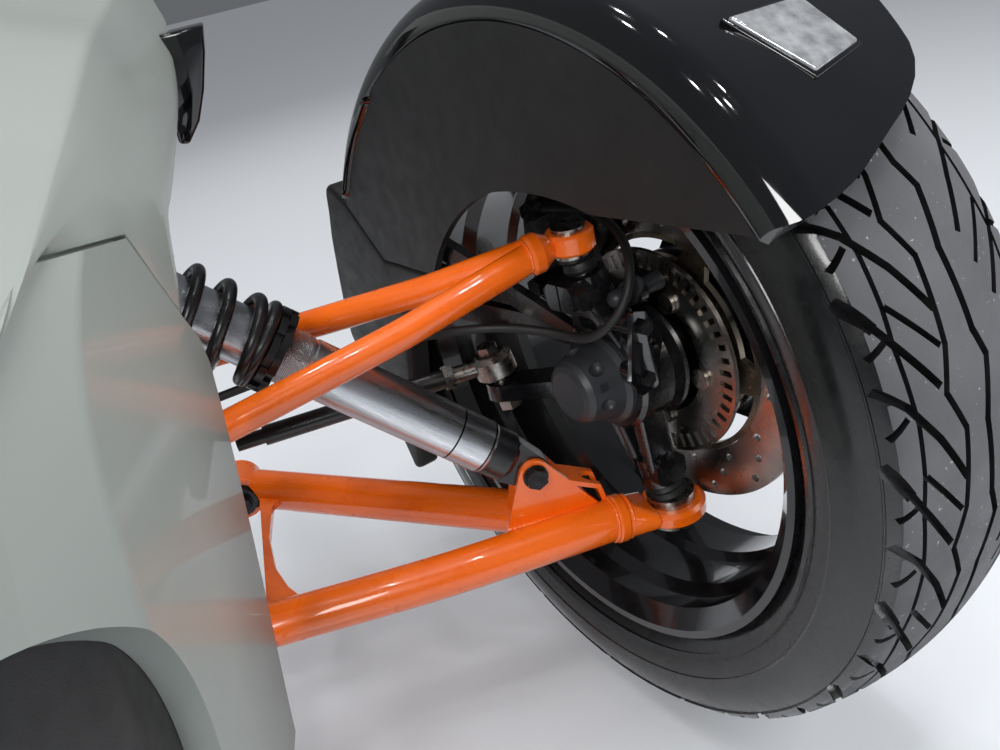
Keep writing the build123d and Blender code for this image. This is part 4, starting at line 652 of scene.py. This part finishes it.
# %% Rubber of the tyre
tread_rubber = finish("tread_rubber", (0.085, 0.086, 0.092), (0.115, 0.116, 0.124),
                      rough=(0.60, 0.80), grain=1200, depth=0.00030, patch=18.0)
groove_rubber = finish("groove_rubber", (0.004, 0.004, 0.005), (0.009, 0.009, 0.010),
                       rough=(0.35, 0.6), grain=700, depth=0.00015)
side_rubber = finish("side_rubber", (0.004, 0.004, 0.0045), (0.010, 0.010, 0.010),
                     rough=(0.16, 0.36), grain=900, depth=0.00012, Coat_Weight=0.4,
                     Coat_Roughness=0.12)
SIDE, TREAD, GROOVE = 0, 1, 2
DUST_COLOR = (0.35, 0.35, 0.36, 1)
SQUARE_ON = 0.999
AT_END = 0.02
TREAD_SKIN = 0.7
SHOULDER_WIDE = 7
SHOULDER_LOW = 20
RIM_OF_TREAD = 4


def dusty(material):
    """Pale specks of dust on the tread."""
    tree = material.node_tree
    shader = tree.nodes["Principled BSDF"]
    specks = ranged(tree, noise(tree, object_place(tree), 330, 1.0), 0, 1, 0.72, 0.80)
    clean = shader.inputs["Base Color"].links[0].from_socket
    tree.links.new(painted_over(tree, specks, clean, DUST_COLOR), shader.inputs["Base Color"])


dusty(tread_rubber)
for material in (side_rubber, tread_rubber, groove_rubber):
    tyre_slice.data.materials.append(material)
on_cap = []
for face in tyre_slice.data.polygons:
    middle = face.center / MM
    wide, r = abs(middle.x), math.hypot(middle.y, middle.z)
    angle = math.degrees(math.atan2(middle.z, -middle.y))
    from_end = min(abs(angle), abs(angle - SLICE_DEGREES))
    round_axle = Vector((0, middle.z, -middle.y)).normalized()
    if abs(face.normal.dot(round_axle)) > SQUARE_ON and from_end < AT_END:
        on_cap.append(face.index)
    from_axle = Vector((0.5 * middle.x / TYRE_R, middle.y, middle.z)).normalized()
    facing_out = face.normal.dot(from_axle)
    if wide < TREAD_HALF and r > crown_r(wide) - TREAD_SKIN and facing_out > 0.8:
        face.material_index = TREAD
    elif wide < TREAD_HALF + SHOULDER_WIDE and r > SIDE_MID_R + SHOULDER_LOW:
        in_groove = facing_out < 0.3 or wide < TREAD_HALF - RIM_OF_TREAD
        face.material_index = GROOVE if in_groove else SIDE
print(len(on_cap), "faces on the two cut ends")

# %% [markdown]
# The slice's two cut ends would be walls inside the tyre, so they are deleted before the slice is
# copied. The copies meet point to point, and merging those points makes one closed tyre.

# %% Copies round the axle
WELD_NEAR = 0.00002
delete_faces(tyre_slice, on_cap, "ONLY_FACE")
slices = [tyre_slice]
for turned_by in range(1, round(360 / SLICE_DEGREES)):
    copy = tyre_slice.copy()
    copy.data = tyre_slice.data.copy()
    copy.data.transform(Matrix.Rotation(-math.radians(turned_by * SLICE_DEGREES), 4, "X"))
    bpy.context.scene.collection.objects.link(copy)
    slices.append(copy)
tyre = join("tyre_rubber", slices)
bpy.ops.object.mode_set(mode="EDIT")
bpy.ops.mesh.select_all(action="SELECT")
bpy.ops.mesh.remove_doubles(threshold=WELD_NEAR)
bpy.ops.object.mode_set(mode="OBJECT")
settle(tyre, STEERED)
soften(tyre, 30)
hand_over(tyre, "wheel", "tyre", "tyre")

# %% [markdown]
# The brake hose is a smooth curve through the air, held by the knuckle at one end and by the
# frame at the other.

# %% Brake hose
HOSE_ROUTE = [
    (-374, 62, 40), (-322, 64, 44), (-262, 58, 52), (-204, 42, 58), (-150, 26, 60), (-104, 14, 56),
    (-70, -8, 48), (-52, -38, 48), (-27, -46, 72), (-13, -30, 98), (-10, 8, 112), (-26, 46, 120),
]
HOSE_R = 3.5
hose_low, hose_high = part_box("hose_banjo")
print("hose union", [round(c, 3) for c in hose_low], [round(c, 3) for c in hose_high])


def smooth_tube(name, points, radius, sides=5, steps=10, swell=(1.0,), closed=False):
    """Tube along a smooth spline. Its thickness goes through the factors in swell in turn."""
    data = bpy.data.curves.new(name, "CURVE")
    data.dimensions = "3D"
    data.bevel_depth = radius
    data.bevel_resolution = sides
    data.resolution_u = steps
    data.use_fill_caps = True
    spline = data.splines.new("NURBS")
    spline.points.add(len(points) - 1)
    for index, place in enumerate(points):
        spline.points[index].co = (*place, 1)
        spline.points[index].radius = swell[index % len(swell)]
    spline.order_u = 3
    spline.use_cyclic_u = closed
    spline.use_endpoint_u = not closed
    tube = bpy.data.objects.new(name, data)
    bpy.context.scene.collection.objects.link(tube)
    select_only(tube)
    bpy.ops.object.convert(target="MESH")
    return bpy.context.object


hose_points = [on_vehicle(*p) for p in HOSE_ROUTE]
BANJO_X = -15.6
BANJO_R, BANJO_ANGLE = 142.0, 125.4
BANJO_FACE = 8.3
banjo = STEERED @ tyre_point(BANJO_ANGLE, BANJO_X, BANJO_R)
last = hose_points[-1]
hose_points.append(banjo - (banjo - last).normalized() * BANJO_FACE * MM)
hose = smooth_tube("brake_hose_tube", hose_points, HOSE_R * MM)
hose.data.materials.append(bush_rubber)
soften(hose, 60)
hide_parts("brake_hose")
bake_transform(hose)
print("hose with", len(hose_points), "points")

# %% [markdown]
# Weld beads are rows of overlapping ripples. A bead here is a thin tube whose thickness goes up and
# down every two millimetres. It follows a ring about a tube, or a line at the foot of a plate.

# %% Weld beads
RIPPLE = 2.0 * MM
RIPPLE_SWELL = (0.75, 1.15)
BEAD_SIDES = 2
BEAD_STEPS = 3


def bead(points, radius, closed=False):
    """Rippled bead along points that lie a ripple apart."""
    return smooth_tube("bead", points, radius, BEAD_SIDES, BEAD_STEPS, RIPPLE_SWELL, closed)


def ring_bead(center, axis, ring_r, radius):
    """Bead round a tube."""
    across = axis.orthogonal().normalized()
    other = axis.cross(across).normalized()
    count = 2 * round(math.pi * ring_r / RIPPLE)
    turns = [k * 2 * math.pi / count for k in range(count)]
    points = [center + ring_r * (across * math.cos(a) + other * math.sin(a)) for a in turns]
    return bead(points, radius, closed=True)


def line_bead(start, end, radius):
    """Straight bead at the foot of a plate."""
    count = max(4, round((end - start).length / RIPPLE))
    return bead([start.lerp(end, k / count) for k in range(count + 1)], radius)


lower_neck = on_vehicle(-56, -18.5, -119.5)
lower_eye = on_vehicle(-5.5, -13.5, -127)
lower_along = (lower_eye - lower_neck).normalized()
upper_ball = on_vehicle(-44.3, 7.1, 110)
upper_neck = on_vehicle(-68.3, 3.1, 109)
upper_along = (upper_ball - upper_neck).normalized()
beads = [
    ring_bead(lower_neck - lower_along * 3.5 * MM, lower_along, 17.2 * MM, 1.6 * MM),
    ring_bead(lower_neck + lower_along * 9.5 * MM, lower_along, 17.0 * MM, 1.5 * MM),
    ring_bead(upper_neck - upper_along * 12 * MM, upper_along, 12.0 * MM, 1.2 * MM),
    line_bead(on_vehicle(-140, -10.6, -103), on_vehicle(-62, -10.6, -108), 2.0 * MM),
    line_bead(on_vehicle(-136, 16.6, -101), on_vehicle(-70, 16.6, -105), 1.8 * MM),
]
welds = join("weld_beads", beads)
welds.data.materials.append(orange_paint)
settle(welds)
soften(welds, 60)
hand_over(welds, "frame", "orange_paint")

# %% [markdown]
# The upper body panel meets the lower one flush along a slanting seam. The solids have a small step
# there, so this skin takes its lower edge from the lower panel's own surface and runs up over the
# shoulder and the crease to the top. It runs on smooth curves through a few measured rows, and its
# lower edge turns in behind the lower panel, so that the seam is one thin dark line.

# %% Rows of the two panels
# Lower panel by height: places (X, Y) from its rear edge over the ridges to the front
NOSE_ROWS = [
    (-168, [(-336, -75), (-360, -275), (-386, -340), (-412, -400)]),
    (-108, [(-328, -75), (-351, -278), (-379, -342), (-406, -400)]),
    (0, [(-313, -75), (-340, -284), (-368, -346), (-397, -400)]),
    (100, [(-301, -75), (-330, -288), (-358, -346), (-387, -400)]),
    (150, [(-296, -78), (-326, -284), (-353, -338), (-382, -400)]),
    (262, [(-289, -110), (-305, -190), (-336, -262), (-382, -400)]),
]
# Upper panel by distance along the vehicle: (X, Z) of top, crease and shoulder
BODY_ROWS = [
    (-400, (-424, 210), (-380, 182), (-381, 181)),
    (-330, (-402, 258), (-352, 222), (-353, 221)),
    (-262, (-384, 294), (-326, 257), (-327, 256)),
    (-173, (-372, 326), (-309, 290), (-303, 262)),
    (-135, (-370, 336), (-304, 302), (-291, 240)),
    (-60, (-369, 346), (-300, 318), (-284, 238)),
    (33, (-370, 350), (-301, 323), (-281, 246)),
    (150, (-368, 358), (-299, 332), (-279, 262)),
    (300, (-366, 372), (-298, 345), (-284, 288)),
]
# Lower edge of the upper panel from the side, as (Y, Z)
LOWER_EDGE = [(-400, 179), (-290, 239), (-245, 263), (-160, 241), (-136, 209), (-110, 179),
              (-98, 192), (-84, 216), (-60, 222), (33, 230), (150, 244), (300, 264)]


print(len(NOSE_ROWS), "rows of the lower panel,", len(BODY_ROWS), "of the upper one")

# %% [markdown]
# The lower panel is flat between its rows, so its surface comes from straight lines. The upper one
# is a stamped curve, so smooth curves run through its rows from front to rear.

# %% Surfaces of the two panels
def lerp(a, b, share):
    """Value or point between two by a share."""
    return a + (b - a) * share


def along_line(line, at):
    """Value on a broken line of (position, value) pairs."""
    for (p, a), (q, b) in zip(line, line[1:]):
        if p <= at <= q:
            return lerp(a, b, (at - p) / (q - p))
    return line[0][1] if at < line[0][0] else line[-1][1]


def smooth_line(line, at):
    """Value on a smooth curve through (position, value) pairs."""
    last = len(line) - 1

    def slope(k):
        """Slope of the curve at a pair, from its two neighbours."""
        (p, a), (q, b) = line[max(k - 1, 0)], line[min(k + 1, last)]
        return (b - a) / (q - p)

    for k in range(last):
        (p, a), (q, b) = line[k], line[k + 1]
        if p <= at <= q:
            t, wide = (at - p) / (q - p), q - p
            return ((2 * t ** 3 - 3 * t ** 2 + 1) * a + (t ** 3 - 2 * t ** 2 + t) * wide * slope(k)
                    + (3 * t ** 2 - 2 * t ** 3) * b + (t ** 3 - t ** 2) * wide * slope(k + 1))
    return line[0][1] if at < line[0][0] else line[last][1]


def nose_x(y, z):
    """X of the lower panel's outer face."""
    z = min(max(z, NOSE_ROWS[0][0]), NOSE_ROWS[-1][0])
    by_height = []
    for row_z, row in NOSE_ROWS:
        by_height.append((row_z, along_line(sorted((row_y, row_x) for row_x, row_y in row), y)))
    return along_line(by_height, z)


HEM_IN = 7.0
HEM_FREE = (-110, -50)


def share_between(y, span):
    """Share from 0 to 1 that rises over a span along the vehicle."""
    start, stop = span
    return min(max((y - start) / (stop - start), 0), 1)


def body_row(y):
    """Top, crease, shoulder and lower edge of the upper panel at one place along it."""
    points = []
    for k in (1, 2, 3):
        points.append(Vector((smooth_line([(row[0], row[k][0]) for row in BODY_ROWS], y), y,
                              smooth_line([(row[0], row[k][1]) for row in BODY_ROWS], y))))
    z = along_line(LOWER_EDGE, y)
    x = lerp(nose_x(y, z), points[2].x - HEM_IN, share_between(y, HEM_FREE))
    return [*points, Vector((x, y, z))]


print("lower panel's face at the seam", round(nose_x(-160, 241)), "mm")

# %% [markdown]
# A sheet is a net of faces through close rows of points. It serves for the upper panel and for the
# fender's hood.

# %% Sheet from rows
def sheet_piece(name, rows, thick, edge_r):
    """Sheet through close rows of points, with a wall and a rounded edge, all in millimetres."""
    count = len(rows[0])
    faces = [(r * count + k, r * count + k + 1, (r + 1) * count + k + 1, (r + 1) * count + k)
             for r in range(len(rows) - 1) for k in range(count - 1)]
    piece = mesh_piece(name, [VEHICLE @ (p * MM) for row in rows for p in row], faces)
    add_wall(piece, thick * MM)
    round_edges(piece, edge_r * MM, 2, 60)
    return piece

# %% [markdown]
# The skin has sixteen points across, closer together at the crease and at the shoulder, so that
# both stay tight when the faces are shaded smooth. Over the lower panel the hidden edge drops
# behind it, and further back, where nothing lies below, it is a short lip.

# %% Skin of the upper panel
BODY_FRONT, BODY_REAR = -398.9, 299.6
BODY_STEP = 8
SKIN_WALL = 2.5
SKIN_EDGE = 0.5
SEAM_DROP = 13.0
HEM_DROP = 2.5
DROP_ENDS = (-136, -84)


def skin_row(y):
    """Points across the upper panel, from its top over crease and shoulder to the hidden edge."""
    top, crest, shoulder, low = body_row(y)
    drop = lerp(SEAM_DROP, HEM_DROP, share_between(y, DROP_ENDS))
    crest_in = lerp(crest, lerp(top, shoulder, 0.5), 0.02)
    shoulder_in = lerp(shoulder, lerp(crest, low, 0.5), 0.10)
    return [top, lerp(top, crest, 0.35), lerp(top, crest, 0.7), lerp(top, crest, 0.95), crest_in,
            lerp(crest, shoulder, 0.05), lerp(crest, shoulder, 0.35), lerp(crest, shoulder, 0.65),
            lerp(crest, shoulder, 0.88), shoulder_in, lerp(shoulder, low, 0.35),
            lerp(shoulder, low, 0.75), low, low + Vector((-2.0, 0, -0.6)),
            low + Vector((-6.5, 0, -1.2)), low + Vector((-6.8, 0, -drop))]


corners = {y for y, z in LOWER_EDGE[1:-1]}
stations = sorted({BODY_FRONT, *range(-392, 297, BODY_STEP), BODY_REAR} | corners)
body_rows = [skin_row(y) for y in stations]
body_skin = sheet_piece("upper_panel_skin", body_rows, SKIN_WALL, SKIN_EDGE)
body_skin.data.materials.append(body_grey)
soften(body_skin, 40)
hand_over(body_skin, "frame", "body_grey", "upper_panel")

# %% [markdown]
# A gloss black trim stands out behind the body's rear edge. It is a flat wedge, so it is made as a
# slab from its outline, with its edges rounded by a bevel. The same slab serves for the lamp, for
# the flap and for the block that cuts the fender's front edge.

# %% Black trim
TRIM = [(-251, 290), (-256, 270), (-266, 243), (-277, 221), (-291, 205), (-299, 207), (-297, 250),
        (-290, 290)]
TRIM_Y = (196, 222)
TRIM_ROUND = 3.0


def rounded_slab(name, outline, span, round_r, place):
    """Slab from an outline of (a, b) between two distances t, put in place by place(a, b, t)."""
    points = [place(a, b, t) for t in span for a, b in outline]
    count = len(outline)
    faces = [tuple(range(count)), tuple(reversed(range(count, 2 * count)))]
    faces += [(k, k + count, (k + 1) % count + count, (k + 1) % count) for k in range(count)]
    piece = mesh_piece(name, points, faces)
    face_outwards(piece)
    round_edges(piece, round_r * MM, 4, 30)
    return piece


trim = rounded_slab("panel_trim", TRIM, TRIM_Y, TRIM_ROUND, lambda x, z, y: on_vehicle(x, y, z))
trim.data.materials.append(gloss_black)
soften(trim, 30)
hand_over(trim, "frame", "gloss_black")

# %% [markdown]
# The fender has three parts: a glossy hood over the tread, a matt panel on the inboard side, and a
# thicker flap behind. The hood is a sheet through a few sections round the axle. Its front edge is
# cut with a block whose outline is the curve that shows in the photograph.

# %% Fender hood
FENDER_IN, FENDER_OUT = -106.0, 76.0
# Angle round the axle, radius of the crown, depth of the sides
FENDER_ROWS = [(29, 304, 26), (60, 304, 26), (92, 297, 25), (120, 290, 23), (148, 290, 23)]
HOOD_CORNER = 23.0
HOOD_ACROSS = (-60, -38, -15, 8, 30)
HOOD_ANGLES = [29 + 119 * step / 60 for step in range(61)]
HOOD_WALL = 4.5
HOOD_EDGE = 0.6
CUT_ANGLE = 42.0
CUT_SPAN = (120, 380)
CUT_EDGE = 0.01


def hood_section(angle, top, depth):
    """Points across the hood from its inboard edge to its outboard edge."""
    c = HOOD_CORNER
    half = [(FENDER_IN, top - depth)]
    for t in range(0, 91, 10):
        turned = math.radians(t)
        half.append((FENDER_IN + c - c * math.cos(turned), top - c + c * math.sin(turned)))
    middle = [(x, top) for x in HOOD_ACROSS]
    far = [(FENDER_OUT - (x - FENDER_IN), r) for x, r in reversed(half)]
    return [tyre_point(angle, x, r) / MM for x, r in half + middle + far]


def outward(x, t, out, angle=CUT_ANGLE):
    """Point on the plane that faces out from the axle at an angle, t along the tread."""
    a = math.radians(angle)
    y = -out * math.cos(a) + t * math.sin(a)
    z = out * math.sin(a) + t * math.cos(a)
    return STEERED @ (Vector((x, y, z)) * MM)


FRONT_CUT = [(90, 150), (150, 150), (150, -130), (-130, -130), (-130, -29), (-107, -33),
             (-102, -37.6), (-98, -39.5), (-93, -40.4), (-87, -40.4), (-74, -38.3), (-59, -35),
             (-47, -31), (-29.4, -24), (-16, -18.4), (-1.7, -12.9), (13, -5.8), (26, 2.8),
             (36, 12.5), (42.5, 23), (46, 34), (52, 54), (62, 90), (76, 120)]
crowns = [(angle, crown) for angle, crown, depth in FENDER_ROWS]
depths = [(angle, depth) for angle, crown, depth in FENDER_ROWS]
hood_rows = [hood_section(a, smooth_line(crowns, a), smooth_line(depths, a)) for a in HOOD_ANGLES]
hood = sheet_piece("fender_hood", hood_rows, HOOD_WALL, HOOD_EDGE)
hood.data.transform(STEERED @ VEHICLE.inverted())
cut_away(hood, rounded_slab("front_cut", FRONT_CUT, CUT_SPAN, CUT_EDGE, outward))
hood.data.materials.append(gloss_black)
soften(hood, 35)
hand_over(hood, "knuckle", "gloss_black", "fender_shell")

# %% [markdown]
# A low clear lamp is let into the fender's crown. Two slabs make it: a black frame a little larger
# than the lamp, and the lens a little smaller, which stands two millimetres higher.

# %% Lamp on the hood
LAMP_SHAPE = [(-35, -19), (9, -10), (2, 32), (-55, 32)]
LAMP_ANGLE = 50.0
FRAME_GROWN, LENS_GROWN = 2.0, -1.5
FRAME_SPAN, LENS_SPAN = (292, 305.6), (294, 307.6)
FRAME_ROUND, LENS_ROUND = 1.2, 1.6


def grown(outline, by):
    """Outline moved away from its middle by about a distance."""
    middle = sum((Vector(p) for p in outline), Vector((0, 0))) / len(outline)
    return [tuple(Vector(p) + (Vector(p) - middle).normalized() * by) for p in outline]


def on_lamp(x, t, out):
    """Point on the lamp's plane, as outward gives it."""
    return outward(x, t, out, LAMP_ANGLE)


lamp_frame = rounded_slab("lamp_frame", grown(LAMP_SHAPE, FRAME_GROWN), FRAME_SPAN, FRAME_ROUND,
                          on_lamp)
lamp_frame.data.materials.append(gloss_black)
soften(lamp_frame, 40)
hand_over(lamp_frame, "knuckle", "gloss_black")
lamp_glass = rounded_slab("lamp_glass", grown(LAMP_SHAPE, LENS_GROWN), LENS_SPAN, LENS_ROUND,
                          on_lamp)
lamp_glass.data.materials.append(lamp_lens)
soften(lamp_glass, 40)
hand_over(lamp_glass, "knuckle", "lamp", "fender_lamp")

# %% [markdown]
# The flap behind the wheel is a moulded plastic shell: thick to look at, but open to the inside. So
# it starts as a rounded slab, loses its inner faces, and gets a thin wall.

# %% Fender flap
FLAP = [(106.6, 88.4), (185.7, 89.7), (231.5, 132.8), (246, 142), (258, 148), (268, 147),
        (272, 139), (276, 124), (285, 100), (293, 66), (300, 30), (303, -4), (281, -48), (258, -78),
        (236, -132), (226, -128), (200, -40), (171, 52), (150, 70)]
FLAP_DEEP = 24.0
FLAP_ROUND = 5.0
FLAP_WALL = 3.0
FACES_INWARD = 0.3
flap = rounded_slab("flap_shell", FLAP, (FENDER_IN, FENDER_IN + FLAP_DEEP), FLAP_ROUND,
                    lambda y, z, x: STEERED @ (Vector((x, y, z)) * MM))
to_wheel = (STEERED.to_3x3() @ Vector((1, 0, 0))).normalized()
inner = [face.index for face in flap.data.polygons if face.normal.dot(to_wheel) > FACES_INWARD]
delete_faces(flap, inner, "FACE")
add_wall(flap, FLAP_WALL * MM)
flap.data.materials.append(matte_black)
soften(flap, 35)
hand_over(flap, "knuckle", "matte_black", "fender_flap")

# %% [markdown]
# The studio is a plain pale floor at the height that the tyre stands on, under a pale world.
# Light Path lets the floor glow a little for the camera, in reflections and behind glass, so it
# is paler without putting more light on the object, and it still takes the object's shadow.

# %% Floor and world
GROUND_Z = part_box("tyre")[0][2]
FLOOR_SIZE = 14.0
FLOOR_COLOR = (0.60, 0.62, 0.65, 1)
FLOOR_GLOW = 0.2
FLOOR_PLACE = (0.4, 0, GROUND_Z)
WORLD_LIGHT = (0.62, 0.65, 0.70, 1)
WORLD_STRENGTH = 0.2

bpy.ops.mesh.primitive_plane_add(size=FLOOR_SIZE, location=FLOOR_PLACE)
floor = bpy.context.object
floor.name = "floor"
floor_material, floor_tree, floor_shader = new_material("floor_grey")
shader_values(floor_shader, Base_Color=FLOOR_COLOR, Roughness=0.2)
path = floor_tree.nodes.new("ShaderNodeLightPath")
seen = path.outputs["Is Camera Ray"]
for kind in ("Is Glossy Ray", "Is Transmission Ray"):
    seen = math_node(floor_tree, "MAXIMUM", seen, path.outputs[kind])
glow = math_node(floor_tree, "MULTIPLY", seen, FLOOR_GLOW)
floor_tree.links.new(glow, floor_shader.inputs["Emission Strength"])
floor_shader.inputs["Emission Color"].default_value = FLOOR_COLOR
floor.data.materials.append(floor_material)

world = bpy.data.worlds.new("studio_world")
world.use_nodes = True
bpy.context.scene.world = world
background = world.node_tree.nodes["Background"]
background.inputs["Color"].default_value = WORLD_LIGHT
background.inputs["Strength"].default_value = WORLD_STRENGTH
print("floor at", round(GROUND_Z, 4), "m")

# %% [markdown]
# Gloss black paint shows hardly anything but reflections. Wide lamps would lie on it as large pale
# patches, so three of the four are hidden from reflections. The row of small bright lamps gives the
# points of light that the photograph has.

# %% Lamps
AIM = Vector((0.35, -0.05, 0.0))


def soft_lamp(name, place, size, watts, mirrored=True):
    """Rectangular area lamp that faces the object. It may be hidden from reflections."""
    data = bpy.data.lights.new(name, "AREA")
    data.shape = "RECTANGLE"
    data.size, data.size_y = size
    data.energy = watts
    lamp = bpy.data.objects.new(name, data)
    lamp.location = place
    lamp.rotation_euler = (AIM - Vector(place)).to_track_quat("-Z", "Y").to_euler()
    lamp.visible_glossy = mirrored
    bpy.context.scene.collection.objects.link(lamp)


SMALL_PLACES = [(-0.5, -0.9), (0.1, -1.1), (0.7, -1.0), (1.2, -0.6), (1.0, 0.3), (0.4, 0.6),
                (-0.2, 0.2)]
SMALL_HIGH = 2.6
SMALL_SIZE = (0.09, 0.09)
SMALL_WATTS = 3.2
soft_lamp("lamp_over", (0.6, -0.3, 2.2), size=(1.6, 1.0), watts=25, mirrored=False)
soft_lamp("lamp_front", (-0.6, -2.2, 1.4), size=(1.2, 0.8), watts=34)
soft_lamp("lamp_outboard", (2.3, -0.9, 1.0), size=(0.8, 1.4), watts=42, mirrored=False)
soft_lamp("lamp_rear", (0.2, 2.2, 1.2), size=(1.4, 0.8), watts=16, mirrored=False)
for index, (x, y) in enumerate(SMALL_PLACES):
    soft_lamp(f"lamp_small_{index}", (x, y, SMALL_HIGH), SMALL_SIZE, SMALL_WATTS)
print(4 + len(SMALL_PLACES), "lamps")
